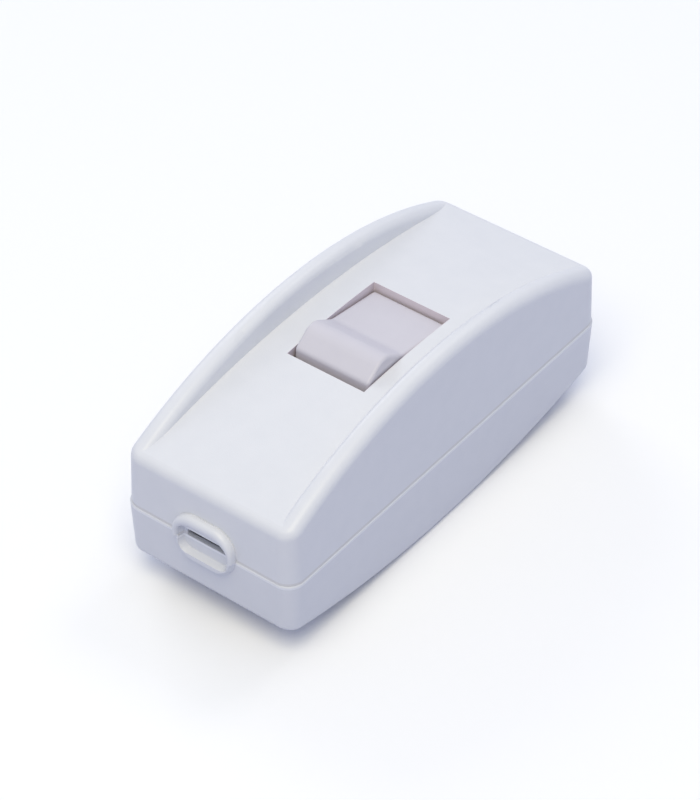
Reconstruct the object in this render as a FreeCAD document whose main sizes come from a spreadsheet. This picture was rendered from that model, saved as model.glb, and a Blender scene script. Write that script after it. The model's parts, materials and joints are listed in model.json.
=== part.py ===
import FreeCAD, Part
import Sketcher
import math
import os
import re
from FreeCAD import Rotation, Vector

# Inline cord switch with a rocker, for a flat two-core cord.
# Length along X, the photographed end at -X, up is +Z. The origin lies under the middle of the
# belly, on the surface that the switch rests on. Millimetres and degrees.

SIZES = [
    # Housing, outside
    ("body_length", 60.0),
    ("body_width", 24.6),
    ("corner_radius", 2.2),
    ("parting_height", 11.15),
    ("belly_rise", 4.0),
    ("belly_edge_radius", 1.0),
    ("lower_draft", 2.75),
    ("upper_draft", 2.0),
    ("rim_ledge", 0.12),
    ("rim_edge", 0.12),
    ("shadow_gap", 0.02),
    ("crest_height", 14.55),
    ("crest_fall", 7.45),
    ("crest_edge_radius", 1.3),
    ("deck_height", 10.97),
    ("deck_fall", 3.5),
    ("rail_width", 2.88),
    ("rail_inner_radius", 1.0),
    # Housing, walls and the lip that locates the two shells
    ("side_wall", 1.6),
    ("deck_wall", 1.5),
    ("floor_wall", 1.6),
    ("inner_corner_radius", 0.8),
    ("lip_height", 1.0),
    ("lip_width", 0.7),
    ("lip_clearance", 0.1),
    # Cord ports, heights from the parting plane
    ("port_half_width", 4.15),
    ("port_top", 3.6),
    ("port_bottom", 3.05),
    ("port_corner_radius", 2.7),
    ("port_proud", 0.65),
    ("port_edge_radius", 0.22),
    ("port_hood_slope", 62.0),
    ("port_rim_slope", 32.0),
    ("bore_half_width", 2.85),
    ("bore_top", 1.8),
    ("bore_bottom", 1.7),
    ("bore_corner_radius", 1.3),
    ("mouth_half_width", 3.55),
    ("mouth_top", 2.05),
    ("mouth_bottom", 1.95),
    ("mouth_depth", 0.95),
    ("mouth_flare", 12.0),
    ("mouth_corner_radius", 1.2),
    ("port_wall", 1.15),
    ("relief_half_width", 4.2),
    ("relief_top", 3.0),
    ("relief_bottom", 2.6),
    ("web_thickness", 0.6),
    ("web_drop", 0.1),
    # Rocker
    ("opening_length", 16.35),
    ("opening_width", 11.05),
    ("pivot_height", 7.2),
    ("rocker_tilt", 8.0),
    ("rocker_half_length", 7.55),
    ("rocker_side_gap", 0.2),
    ("rocker_top", 3.62),
    ("rocker_lean", 0.15),
    ("rocker_skirt", 0.4),
    ("rocker_wall", 1.2),
    ("rocker_edge_radius", 0.4),
    ("ridge_reach", 4.9),
    ("ridge_top", 5.4),
    ("ridge_foot", 2.7),
    ("ridge_radius", 2.2),
    ("valley_reach", 0.9),
    ("valley_radius", 2.5),
    ("axle_radius", 1.5),
    ("axle_clearance", 0.07),
    ("axle_reach", 7.0),
    ("axle_lobe_radius", 2.6),
    ("bearing_wall", 1.7),
    ("bearing_half_length", 3.0),
    ("bearing_drop", 2.2),
    ("stem_radius", 2.4),
    ("stem_length", 6.0),
    ("stem_bore_top", 1.5),
    # Plunger and its spring, in the rocker's stem
    ("plunger_radius", 1.45),
    ("plunger_clearance", 0.05),
    ("plunger_tip_radius", 1.2),
    ("plunger_reach", 8.0),
    ("plunger_top", 3.0),
    ("plunger_peg_radius", 0.7),
    ("plunger_peg_height", 1.2),
    ("spring_radius", 1.05),
    ("spring_wire", 0.17),
    ("spring_turns", 5.0),
    # Contact lever and contacts
    ("tip_gap", 0.15),
    ("lever_tilt", 6.0),
    ("lever_rise", 1.2),
    ("lever_half_length", 7.0),
    ("lever_half_width", 1.5),
    ("lever_thickness", 0.8),
    ("lever_hub", 1.1),
    ("fulcrum_radius", 0.5),
    ("fulcrum_clearance", 0.05),
    ("contact_reach", 5.5),
    ("contact_radius", 1.2),
    ("contact_head", 0.5),
    ("contact_shank", 0.6),
    ("contact_peen_radius", 0.9),
    ("contact_peen", 0.25),
    ("contact_gap", 0.05),
    # Terminals
    ("strip_thickness", 0.8),
    ("strip_half_width", 2.4),
    ("strip_end", 1.3),
    ("terminal_seat", 6.0),
    ("terminal_reach", 12.0),
    ("terminal_length", 5.0),
    ("terminal_height", 5.2),
    ("neutral_inset", 5.0),
    ("neutral_reach", 6.5),
    ("wire_bore_radius", 1.3),
    ("wire_bore_height", 1.9),
    ("terminal_screw_radius", 1.1),
    ("terminal_screw_length", 3.2),
    ("terminal_screw_gap", 0.1),
    ("terminal_head_radius", 2.0),
    ("terminal_head", 1.4),
    ("rest_reach", 5.4),
    ("rest_gap", 0.1),
    # Cord clamps
    ("clamp_setback", 6.0),
    ("clamp_length", 5.0),
    ("clamp_thickness", 2.4),
    ("clamp_overhang", 2.0),
    ("clamp_squeeze", 2.6),
    ("clamp_hole_clearance", 0.2),
    ("saddle_half_width", 2.8),
    ("saddle_length", 7.0),
    ("saddle_drop", 2.2),
    ("saddle_rib", 0.5),
    ("saddle_rib_width", 0.8),
    ("clamp_screw_inset", 5.7),
    ("clamp_boss_radius", 2.3),
    ("clamp_screw_radius", 1.2),
    ("clamp_screw_length", 9.0),
    ("clamp_head_radius", 2.2),
    ("clamp_head", 1.5),
    # Case screws
    ("case_screw_setback", 5.8),
    ("case_screw_inset", 4.7),
    ("case_screw_radius", 1.25),
    ("case_screw_length", 12.0),
    ("case_head_radius", 2.2),
    ("case_head", 1.6),
    ("case_head_seat", 4.6),
    ("case_head_clearance", 0.2),
    ("case_hole_clearance", 0.2),
    ("case_lower_boss_radius", 3.2),
    ("case_upper_boss_radius", 2.6),
    ("thread_clearance", 0.05),
    ("screw_slot", 0.7),
]

NAMES = {name for name, value in SIZES}
DOC = FreeCAD.newDocument("inline_cord_switch")
SHEET = DOC.addObject("Spreadsheet::Sheet", "Sizes")


def fill_sheet():
    """One row for each driving dimension: its name, its value and its alias."""
    for row, (name, value) in enumerate(SIZES, start=1):
        SHEET.set(f"A{row}", name)
        SHEET.set(f"B{row}", str(value))
        SHEET.setAlias(f"B{row}", name)
    DOC.recompute()


def cells(formula):
    """The formula with every size's name turned into its sheet cell."""
    return re.sub(r"[a-z_]+", lambda word: f"Sizes.{word[0]}" if word[0] in NAMES else word[0],
                  formula)


def number(formula):
    """What a formula of sheet sizes comes to."""
    return float(SHEET.evalExpression(cells(formula)))


def bind(thing, **formulas):
    """Bind properties of an object to formulas of sheet sizes."""
    for name, formula in formulas.items():
        thing.setExpression(name, cells(formula))


def place(thing, x="0", y="0", z="0", turn=None, axis=Vector(0, 1, 0)):
    """Put an object at a point, turned about an axis."""
    if turn is not None:
        thing.Placement.Rotation = Rotation(axis, number(turn))
        thing.setExpression("Placement.Rotation.Angle", cells(turn))
    thing.setExpression("Placement.Base.x", cells(x))
    thing.setExpression("Placement.Base.y", cells(y))
    thing.setExpression("Placement.Base.z", cells(z))
    return thing


# Formulas that several pieces share

UPPER_HALF_LENGTH = "(body_length / 2 - rim_ledge)"
UPPER_HALF_WIDTH = "(body_width / 2 - rim_ledge)"
CAVITY_HALF_LENGTH = "(body_length / 2 - side_wall)"
CAVITY_HALF_WIDTH = "(body_width / 2 - side_wall)"
LIP_TOP = "(parting_height + lip_height)"
ABOVE_ALL = "(parting_height + crest_height + 5)"
RAIL_WALL = f"({UPPER_HALF_WIDTH} - rail_width)"
SPAN = "(body_length / 2)"
CREST_RADIUS = "((body_length^2 / 4 + crest_fall^2) / (2 * crest_fall))"
DECK_RADIUS = "((body_length^2 / 4 + deck_fall^2) / (2 * deck_fall))"
BELLY_RADIUS = "((body_length^2 / 4 + belly_rise^2) / (2 * belly_rise))"
PIVOT_Z = "(parting_height + pivot_height)"
ROCKER_HALF_WIDTH = "(opening_width / 2 - rocker_side_gap)"
PRESSED_TIP_Z = (f"({PIVOT_Z} - (plunger_reach - plunger_tip_radius) * cos(rocker_tilt)"
                 " - plunger_tip_radius)")
FULCRUM_Z = f"({PRESSED_TIP_Z} - tip_gap - lever_rise * cos(lever_tilt))"
CONTACT_FACE = "((lever_rise - lever_thickness) * cos(lever_tilt))"
FIXED_FACE_Z = f"({FULCRUM_Z} + {CONTACT_FACE} - contact_head - contact_gap)"
LOAD_SEAT = f"({FIXED_FACE_Z} - contact_head - strip_thickness)"
SADDLE_TOP = "(parting_height - saddle_drop)"
CLAMP_SEAT = f"({SADDLE_TOP} + clamp_squeeze)"
PORT_FACE = "(body_length / 2 + port_proud)"
CLAMP_REACH = "(body_length / 2 - clamp_setback)"
CLAMP_SCREW_OFFSET = "(body_width / 2 - clamp_screw_inset)"
CASE_SCREW_REACH = f"({CLAMP_REACH} - case_screw_setback)"
CASE_SCREW_OFFSET = "(body_width / 2 - case_screw_inset)"
NEUTRAL_OFFSET = "(body_width / 2 - neutral_inset)"


# Sketches and PartDesign features

def new_body(name):
    return DOC.addObject("PartDesign::Body", name)


def new_sketch(body, name, plane, height="0"):
    """A sketch on one of the body's origin planes, moved along the plane's normal."""
    sketch = body.newObject("Sketcher::SketchObject", name)
    origin_plane = next(o for o in body.Origin.OriginFeatures if o.Role == plane)
    sketch.AttachmentSupport = (origin_plane, [""])
    sketch.MapMode = "FlatFace"
    sketch.setExpression("AttachmentOffset.Base.z", cells(height))
    return sketch


def arc_between(start, end, radius, turn):
    """The short arc from start to end: turn 1 bends left, -1 bends right."""
    chord = end - start
    left = Vector(-chord.y, chord.x, 0).normalize()
    rise = math.sqrt(max(radius**2 - (chord.Length / 2)**2, 0))
    centre = (start + end) / 2 + left * rise * turn
    first, last = (start, end) if turn > 0 else (end, start)
    angles = [math.atan2(p.y - centre.y, p.x - centre.x) for p in (first, last)]
    return Part.ArcOfCircle(Part.Circle(centre, Vector(0, 0, 1), radius), *angles)


def add_point_rule(sketch, element, point, formula, kind):
    """Hold one coordinate of a sketch point at a formula of sheet sizes."""
    value = number(formula)
    axis = -2 if kind == "DistanceX" else -1
    if abs(value) < 1e-9:
        sketch.addConstraint(Sketcher.Constraint("PointOnObject", element, point, axis))
        return
    rule = sketch.addConstraint(Sketcher.Constraint(kind, -1, 1, element, point, value))
    sketch.setExpression(f"Constraints[{rule}]", cells(formula))


def draw_outline(sketch, corners):
    """A closed outline of lines and arcs.

    Each corner is (x, y), or (x, y, radius, turn) where an arc runs to the next corner.
    """
    points = [Vector(number(corner[0]), number(corner[1]), 0) for corner in corners]
    first = sketch.GeometryCount
    ends = []
    for index, corner in enumerate(corners):
        start, end = points[index], points[(index + 1) % len(points)]
        if len(corner) == 2:
            sketch.addGeometry(Part.LineSegment(start, end), False)
            ends.append((1, 2))
            continue
        radius, turn = corner[2:]
        sketch.addGeometry(arc_between(start, end, number(radius), turn), False)
        ends.append((1, 2) if turn > 0 else (2, 1))
    for index, corner in enumerate(corners):
        element = first + index
        following = (index + 1) % len(corners)
        sketch.addConstraint(Sketcher.Constraint(
            "Coincident", element, ends[index][1], first + following, ends[following][0]))
        add_point_rule(sketch, element, ends[index][0], corner[0], "DistanceX")
        add_point_rule(sketch, element, ends[index][0], corner[1], "DistanceY")
        if len(corner) > 2:
            radius = number(corner[2])
            rule = sketch.addConstraint(Sketcher.Constraint("Radius", element, radius))
            sketch.setExpression(f"Constraints[{rule}]", cells(corner[2]))
    return sketch


def draw_circle(sketch, x, y, radius):
    centre = Vector(number(x), number(y), 0)
    element = sketch.addGeometry(Part.Circle(centre, Vector(0, 0, 1), number(radius)), False)
    add_point_rule(sketch, element, 3, x, "DistanceX")
    add_point_rule(sketch, element, 3, y, "DistanceY")
    rule = sketch.addConstraint(Sketcher.Constraint("Radius", element, number(radius)))
    sketch.setExpression(f"Constraints[{rule}]", cells(radius))
    return sketch


def rounded_rectangle(left, right, bottom, top, radius):
    """Corners of a rectangle with rounded corners, for draw_outline."""
    return [
        (f"{left} + {radius}", bottom),
        (f"{right} - {radius}", bottom, radius, 1),
        (right, f"{bottom} + {radius}"),
        (right, f"{top} - {radius}", radius, 1),
        (f"{right} - {radius}", top),
        (f"{left} + {radius}", top, radius, 1),
        (left, f"{top} - {radius}"),
        (left, f"{bottom} + {radius}", radius, 1),
    ]


def add_feature(body, kind, sketch, length=None, both=False, back=False, taper=None):
    """A pad or pocket of a sketch; both runs it to each side, back turns it round."""
    feature = body.newObject(f"PartDesign::{kind}", f"{sketch.Name}_{kind.lower()}")
    feature.Profile = sketch
    if length is None:
        feature.Type = "ThroughAll"
    else:
        bind(feature, Length=length)
    if both:
        feature.SideType = "Symmetric"
    feature.Reversed = back
    if taper:
        bind(feature, TaperAngle=taper)
    sketch.Visibility = False
    DOC.recompute()
    return feature


def add_revolution(body, sketch):
    feature = body.newObject("PartDesign::Revolution", f"{sketch.Name}_turn")
    feature.Profile = sketch
    feature.ReferenceAxis = (sketch, ["V_Axis"])
    feature.Angle = 360
    DOC.recompute()
    return feature


def add_edge_feature(body, kind, test, **sizes):
    """Dress the edges of the body's latest feature whose ends and middle pass the test."""
    base = body.Tip
    names = [f"Edge{index}" for index, edge in enumerate(base.Shape.Edges, start=1)
             if all(test(point) for point in edge_points(edge))]
    feature = body.newObject(f"PartDesign::{kind}", f"{body.Name}_{kind.lower()}")
    feature.Base = (base, names)
    bind(feature, **sizes)
    DOC.recompute()
    return feature


def add_fillet(body, radius, test):
    return add_edge_feature(body, "Fillet", test, Radius=radius)


def add_chamfer(body, size, test):
    return add_edge_feature(body, "Chamfer", test, Size=size)


def edge_points(edge):
    """Both ends of an edge and three points between them, in the body's own frame."""
    first, last = edge.ParameterRange
    return [edge.valueAt(first + (last - first) * share) for share in (0, 0.25, 0.5, 0.75, 1)]


def near(a, b):
    return abs(a - b) < 1e-3


# Part primitives and booleans

def box(name, x, y, z):
    """A box between two formulas along each axis."""
    thing = DOC.addObject("Part::Box", name)
    sides = {"Length": x, "Width": y, "Height": z}
    bind(thing, **{side: f"({high}) - ({low})" for side, (low, high) in sides.items()})
    return place(thing, x[0], y[0], z[0])


def cylinder(name, radius, height, x="0", y="0", z="0", turn=None, axis=Vector(0, 1, 0)):
    """A cylinder from a point, along +Z or turned about an axis."""
    thing = DOC.addObject("Part::Cylinder", name)
    bind(thing, Radius=radius, Height=height)
    return place(thing, x, y, z, turn, axis)


def cross_cylinder(name, radius, low, high, x, z):
    """A cylinder along Y, from low to high."""
    return cylinder(name, radius, f"({high}) - ({low})", x, low, z, "-90", Vector(1, 0, 0))


def long_cylinder(name, radius, low, high, y, z):
    """A cylinder along X, from low to high."""
    return cylinder(name, radius, f"({high}) - ({low})", low, y, z, "90", Vector(0, 1, 0))


def fuse(name, things):
    result = DOC.addObject("Part::MultiFuse", name)
    result.Shapes = things
    result.Refine = True
    return result


def cut(name, base, *tools):
    result = DOC.addObject("Part::Cut", name)
    result.Base = base
    result.Tool = tools[0] if len(tools) == 1 else fuse(f"{name}_tools", list(tools))
    return result


def common(name, one, other):
    result = DOC.addObject("Part::Common", name)
    result.Base = one
    result.Tool = other
    return result


# Housing

def arch(end_height, radius, far_height, half_span=SPAN):
    """An upward arch from end to end, closed at another height."""
    return [
        (f"-{half_span}", end_height, radius, -1),
        (half_span, end_height),
        (half_span, far_height),
        (f"-{half_span}", far_height),
    ]


def bowl(end_height, radius, far_height, half_span=SPAN):
    """A downward arch from end to end, closed at another height."""
    return [
        (f"-{half_span}", end_height, radius, 1),
        (half_span, end_height),
        (half_span, far_height),
        (f"-{half_span}", far_height),
    ]


def arc_drop(radius, reach):
    """How far an arc has fallen at a distance from its top."""
    return f"({radius} - sqrt({radius}^2 - ({reach})^2))"


def plan(half_length, half_width, radius):
    return rounded_rectangle(f"-{half_length}", half_length, f"-{half_width}", half_width,
                             radius)


def upper_envelope():
    """The upper shell's outside: tapered plan, arched crest, rounded top edge."""
    body = new_body("upper_envelope")
    base = "parting_height + shadow_gap"
    sketch = draw_outline(new_sketch(body, "upper_plan", "XY_Plane", base),
                          plan(UPPER_HALF_LENGTH, UPPER_HALF_WIDTH, "corner_radius"))
    add_feature(body, "Pad", sketch, "crest_height", taper="-upper_draft")
    crest_end = "parting_height + crest_height - crest_fall"
    sketch = draw_outline(new_sketch(body, "crest_arch", "XZ_Plane"),
                          arch(crest_end, CREST_RADIUS, ABOVE_ALL))
    add_feature(body, "Pocket", sketch, both=True)
    radius = number(CREST_RADIUS)
    centre = number(f"parting_height + crest_height - {CREST_RADIUS}")
    add_fillet(body, "crest_edge_radius",
               lambda p: abs(math.hypot(p.x, p.z - centre) - radius) < 0.02)
    return body


def deck_recess():
    """The space over the sunk deck, between two side rails with rounded inner edges."""
    body = new_body("deck_space")
    deck_end = "parting_height + deck_height - deck_fall"
    sketch = draw_outline(new_sketch(body, "deck_arch", "XZ_Plane"),
                          arch(deck_end, DECK_RADIUS, ABOVE_ALL))
    add_feature(body, "Pad", sketch, f"2 * ({RAIL_WALL} + rail_inner_radius)", both=True)
    rails = []
    for side, sign in (("right", -1), ("left", 1)):
        rail = new_body(f"{side}_rail")
        crest_end = "parting_height + crest_height - crest_fall"
        sketch = draw_outline(new_sketch(rail, f"{side}_rail_arch", "XZ_Plane"),
                              arch(crest_end, CREST_RADIUS, "parting_height"))
        add_feature(rail, "Pad", sketch, "2 * rail_width", both=True)
        add_fillet(rail, "rail_inner_radius",
                   lambda p: near(p.y, -sign * number("rail_width"))
                   and p.z > number(crest_end) - 1e-3)
        place(rail, y=f"{sign} * ({RAIL_WALL} + rail_width)")
        rails.append(rail)
    return cut("deck_recess", body, *rails)


def cavity(name, outline):
    """An inside space with rounded upright corners."""
    body = new_body(name)
    sketch = draw_outline(new_sketch(body, f"{name}_section", "XZ_Plane"), outline)
    add_feature(body, "Pad", sketch, f"2 * {CAVITY_HALF_WIDTH}", both=True)
    half_length = number(CAVITY_HALF_LENGTH)
    half_width = number(CAVITY_HALF_WIDTH)
    add_fillet(body, "inner_corner_radius",
               lambda p: near(abs(p.x), half_length) and near(abs(p.y), half_width))
    return body


def port_body(name, sign, outline, low, high, taper=None):
    """A pad along X at one end, from one distance to another from the middle."""
    body = new_body(name)
    sketch = draw_outline(new_sketch(body, f"{name}_outline", "YZ_Plane", f"{sign} * ({low})"),
                          outline)
    add_feature(body, "Pad", sketch, f"({high}) - ({low})", back=sign < 0, taper=taper)
    return body


def port_ring(side, sign, slope):
    """The raised ring round a cord port, sloped all round, with a soft front edge."""
    outline = rounded_rectangle("-port_half_width", "port_half_width",
                                "(parting_height - port_bottom)", "(parting_height + port_top)",
                                "port_corner_radius")
    proud = port_body(f"{side}_ring_slope", sign, outline, SPAN, PORT_FACE, f"-{slope}")
    face = number(PORT_FACE)
    add_fillet(proud, "port_edge_radius", lambda p: near(abs(p.x), face))
    root = port_body(f"{side}_ring_root", sign, outline, f"{SPAN} - side_wall", SPAN)
    return fuse(f"{side}_ring", [proud, root])


def port_bore(name, sign, low, high):
    """The cord's way through the end wall."""
    outline = rounded_rectangle("-bore_half_width", "bore_half_width",
                                "(parting_height - bore_bottom)", "(parting_height + bore_top)",
                                "bore_corner_radius")
    return port_body(name, sign, outline, low, high)


def port_mouth(name, sign):
    """The flared mouth in front of the bore and its web; its sizes hold at the ring's face."""
    inset = "mouth_depth * tan(mouth_flare)"
    half_width = f"(mouth_half_width - {inset})"
    outline = rounded_rectangle(f"-{half_width}", half_width,
                                f"(parting_height - mouth_bottom + {inset})",
                                f"(parting_height + mouth_top - {inset})",
                                f"(mouth_corner_radius - {inset})")
    return port_body(name, sign, outline, f"{PORT_FACE} - mouth_depth", f"{PORT_FACE} + 0.2",
                     "mouth_flare")


def port_relief(name, sign):
    """The hollow that thins the end wall round a cord port, from the inside."""
    span = end_span(sign, f"{CAVITY_HALF_LENGTH} - 1", f"{SPAN} - port_wall")
    return box(name, span, ("-relief_half_width", "relief_half_width"),
               ("parting_height - relief_bottom", "parting_height + relief_top"))


def end_span(sign, low, high):
    """The X range between two distances from the middle, at one end."""
    return (low, high) if sign > 0 else (f"-({high})", f"-({low})")


def slab(name, low, high):
    """A slab over the whole plan, ports included."""
    half_length = "(body_length / 2 + port_proud + 1)"
    half_width = "(body_width / 2 + 1)"
    return box(name, (f"-{half_length}", half_length), (f"-{half_width}", half_width),
               (low, high))


def upper_shell():
    """The arched cover with its rocker opening, bearings and screw bosses."""
    top = cut("upper_blank", upper_envelope(), deck_recess())
    skirt = "(parting_height + shadow_gap)"
    rings = fuse("upper_rings_whole", [port_ring("near_upper", -1, "port_hood_slope"),
                                       port_ring("far_upper", 1, "port_hood_slope")])
    rings = cut("upper_rings", rings, slab("under_skirt", "-1", skirt))
    roof_end = (f"(parting_height + deck_height - {arc_drop(DECK_RADIUS, CAVITY_HALF_LENGTH)}"
                " - deck_wall)")
    space = cavity("upper_cavity", arch(roof_end, f"({DECK_RADIUS} - deck_wall)", "parting_height",
                                        CAVITY_HALF_LENGTH))
    rebate = new_body("lip_rebate")
    reach = "(side_wall - lip_width - lip_clearance)"
    sketch = draw_outline(new_sketch(rebate, "rebate_plan", "XY_Plane", "parting_height"),
                          plan(f"(body_length / 2 - {reach})", f"(body_width / 2 - {reach})",
                               "(inner_corner_radius + lip_width)"))
    add_feature(rebate, "Pad", sketch, "lip_height")
    opening = box("rocker_opening", ("-opening_length / 2", "opening_length / 2"),
                  ("-opening_width / 2", "opening_width / 2"), (LIP_TOP, ABOVE_ALL))
    bores = []
    for side, sign in (("near", -1), ("far", 1)):
        bores.append(port_mouth(f"{side}_upper_mouth", sign))
        bores.append(port_bore(f"{side}_upper_bore", sign, f"{CAVITY_HALF_LENGTH} - 1",
                               f"{PORT_FACE} + 1"))
        bores.append(port_relief(f"{side}_upper_relief", sign))
    shell = cut("upper_hollow", fuse("upper_solid", [top, rings]), space, rebate, opening, *bores)

    inside = new_body("upper_inside")
    roof_end = (f"(parting_height + deck_height - {arc_drop(DECK_RADIUS, SPAN)}"
                " - deck_wall / 2)")
    sketch = draw_outline(new_sketch(inside, "upper_inside_section", "XZ_Plane"),
                          arch(roof_end, f"({DECK_RADIUS} - deck_wall / 2)", "parting_height"))
    add_feature(inside, "Pad", sketch, "body_width - side_wall", both=True)
    fittings = []
    cuts = []
    for side, sign in (("right", -1), ("left", 1)):
        near_face = f"{sign} * opening_width / 2"
        far_face = f"{sign} * (opening_width / 2 + bearing_wall)"
        span = (far_face, near_face) if sign < 0 else (near_face, far_face)
        fittings.append(box(f"{side}_bearing", ("-bearing_half_length", "bearing_half_length"),
                            span, (f"{PIVOT_Z} - bearing_drop", ABOVE_ALL)))
        seat_radius = "(axle_radius + axle_clearance)"
        low, high = (f"{span[0]} - 0.2", f"{span[1]} + 0.2")
        cuts.append(cross_cylinder(f"{side}_axle_seat", seat_radius, low, high, "0", PIVOT_Z))
        cuts.append(box(f"{side}_axle_mouth", (f"-{seat_radius}", seat_radius), (low, high),
                        (f"{PIVOT_Z} - bearing_drop - 1", PIVOT_Z)))
    for side, sign in (("near", -1), ("far", 1)):
        x, y = f"{sign} * {CASE_SCREW_REACH}", f"{sign} * {CASE_SCREW_OFFSET}"
        fittings.append(cylinder(f"{side}_upper_boss", "case_upper_boss_radius",
                                 "crest_height", x, y, "parting_height"))
        depth = "(case_head_seat + case_screw_length - parting_height + 1)"
        cuts.append(cylinder(f"{side}_pilot", "case_screw_radius + thread_clearance",
                             f"{depth} + 1", x, y, "parting_height - 1"))
    fittings = common("upper_fittings", fuse("upper_fittings_tall", fittings), inside)
    shell = fuse("upper_joined", [shell, fittings])
    return cut("upper_shell", shell, *cuts)


def lower_envelope():
    """The lower shell's outside: tapered plan and belly, with rounded edges."""
    body = new_body("lower_envelope")
    sketch = draw_outline(new_sketch(body, "rim_plan", "XY_Plane", "parting_height"),
                          plan(SPAN, "(body_width / 2)", "corner_radius"))
    add_feature(body, "Pad", sketch, "parting_height", back=True, taper="-lower_draft")
    sketch = draw_outline(new_sketch(body, "belly_arch", "XZ_Plane"),
                          bowl("belly_rise", BELLY_RADIUS, "-5"))
    add_feature(body, "Pocket", sketch, both=True)
    radius = number(BELLY_RADIUS)
    add_fillet(body, "belly_edge_radius",
               lambda p: abs(math.hypot(p.x, p.z - radius) - radius) < 0.02)
    rim = number("parting_height")
    add_chamfer(body, "rim_edge", lambda p: near(p.z, rim))
    return body


def lower_fittings():
    """Screw bosses, cord saddles and terminal seats that stand on the lower shell's floor."""
    seat_half = "(strip_half_width + 0.1)"
    seat_length = "(terminal_length + 2)"
    under = "-1"
    things = []
    for side, sign in (("near", -1), ("far", 1)):
        centre = f"{sign} * {CLAMP_REACH}"
        saddle = (f"{centre} - saddle_length / 2", f"{centre} + saddle_length / 2")
        across = ("-saddle_half_width", "saddle_half_width")
        things.append(box(f"{side}_saddle", saddle, across,
                          (under, f"{SADDLE_TOP} - saddle_rib")))
        for index in range(3):
            middle = f"({centre} + {index - 1} * (saddle_length - saddle_rib_width) / 2)"
            rib = (f"{middle} - saddle_rib_width / 2", f"{middle} + saddle_rib_width / 2")
            things.append(box(f"{side}_saddle_rib_{index + 1}", rib, across,
                              (under, SADDLE_TOP)))
        for hand, turn in (("right", -1), ("left", 1)):
            things.append(cylinder(f"{side}_{hand}_clamp_boss", "clamp_boss_radius",
                                   f"{CLAMP_SEAT} + 1", centre,
                                   f"{turn} * {CLAMP_SCREW_OFFSET}", under))
        things.append(cylinder(f"{side}_lower_boss", "case_lower_boss_radius",
                               "parting_height + 1", f"{sign} * {CASE_SCREW_REACH}",
                               f"{sign} * {CASE_SCREW_OFFSET}", under))
        height = "terminal_seat" if sign < 0 else LOAD_SEAT
        spots = (("terminal", "terminal_reach", "0", height),
                 ("neutral", "neutral_reach", NEUTRAL_OFFSET, "terminal_seat"))
        for name, reach, y, top in spots:
            length = (f"{sign} * {reach} - {seat_length} / 2",
                      f"{sign} * {reach} + {seat_length} / 2")
            things.append(box(f"{side}_{name}_seat", length,
                              (f"{y} - {seat_half}", f"{y} + {seat_half}"), (under, top)))
    things.append(box("fulcrum_seat", ("-strip_end", "strip_end"), (f"-{seat_half}", seat_half),
                      (under, "terminal_seat")))
    inside = new_body("lower_inside")
    floor_end = f"({arc_drop(BELLY_RADIUS, SPAN)} + floor_wall / 2)"
    sketch = draw_outline(new_sketch(inside, "lower_inside_section", "XZ_Plane"),
                          bowl(floor_end, f"({BELLY_RADIUS} - floor_wall / 2)", ABOVE_ALL))
    add_feature(inside, "Pad", sketch, "body_width - side_wall", both=True)
    return common("lower_fittings", fuse("lower_fittings_tall", things), inside)


def lower_shell():
    """The belly shell with its lip, cord saddles, terminal seats and screw bosses."""
    rings = fuse("lower_rings_whole", [port_ring("near_lower", -1, "port_rim_slope"),
                                       port_ring("far_lower", 1, "port_rim_slope")])
    rings = cut("lower_rings", rings, slab("over_rim", "parting_height", ABOVE_ALL))
    lip = new_body("lip")
    reach = "(side_wall - lip_width)"
    sketch = draw_outline(new_sketch(lip, "lip_plan", "XY_Plane", "parting_height - 1"),
                          plan(f"(body_length / 2 - {reach})", f"(body_width / 2 - {reach})",
                               "(inner_corner_radius + lip_width)"))
    add_feature(lip, "Pad", sketch, "lip_height + 1")
    floor_end = f"({arc_drop(BELLY_RADIUS, CAVITY_HALF_LENGTH)} + floor_wall)"
    space = cavity("lower_cavity", bowl(floor_end, f"({BELLY_RADIUS} - floor_wall)", ABOVE_ALL,
                                        CAVITY_HALF_LENGTH))
    tools = [space]
    for side, sign in (("near", -1), ("far", 1)):
        web_face = f"({PORT_FACE} - mouth_depth)"
        tools.append(port_mouth(f"{side}_lower_mouth", sign))
        tools.append(port_bore(f"{side}_throat", sign, f"{CAVITY_HALF_LENGTH} - 1",
                               f"{web_face} - web_thickness"))
        inner = f"{CAVITY_HALF_LENGTH} - 1"
        tools.append(box(f"{side}_notch", end_span(sign, inner, f"{PORT_FACE} + 1"),
                         ("-bore_half_width", "bore_half_width"),
                         ("parting_height - web_drop", f"{LIP_TOP} + 1")))
        tools.append(box(f"{side}_lip_gap",
                         end_span(sign, inner, f"{CAVITY_HALF_LENGTH} + lip_width"),
                         ("-relief_half_width", "relief_half_width"),
                         ("parting_height", f"{LIP_TOP} + 1")))
        tools.append(port_relief(f"{side}_lower_relief", sign))
    shell = cut("lower_hollow", fuse("lower_solid", [lower_envelope(), rings, lip]), *tools)
    shell = fuse("lower_joined", [shell, lower_fittings()])
    holes = []
    for side, sign in (("near", -1), ("far", 1)):
        x, y = f"{sign} * {CASE_SCREW_REACH}", f"{sign} * {CASE_SCREW_OFFSET}"
        holes.append(cylinder(f"{side}_case_hole", "case_screw_radius + case_hole_clearance",
                              "parting_height + 2", x, y, "-1"))
        holes.append(cylinder(f"{side}_counterbore", "case_head_radius + case_head_clearance",
                              "case_head_seat + 1", x, y, "-1"))
        for hand, turn in (("right", -1), ("left", 1)):
            depth = "(clamp_screw_length - clamp_thickness + 0.5)"
            holes.append(cylinder(f"{side}_{hand}_clamp_pilot",
                                  "clamp_screw_radius + thread_clearance", f"{depth} + 1",
                                  f"{sign} * {CLAMP_REACH}", f"{turn} * {CLAMP_SCREW_OFFSET}",
                                  f"{CLAMP_SEAT} - {depth}"))
    return cut("lower_shell", shell, *holes)


# Rocker and its plunger. Both are drawn about the axle and then tilted.

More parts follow.
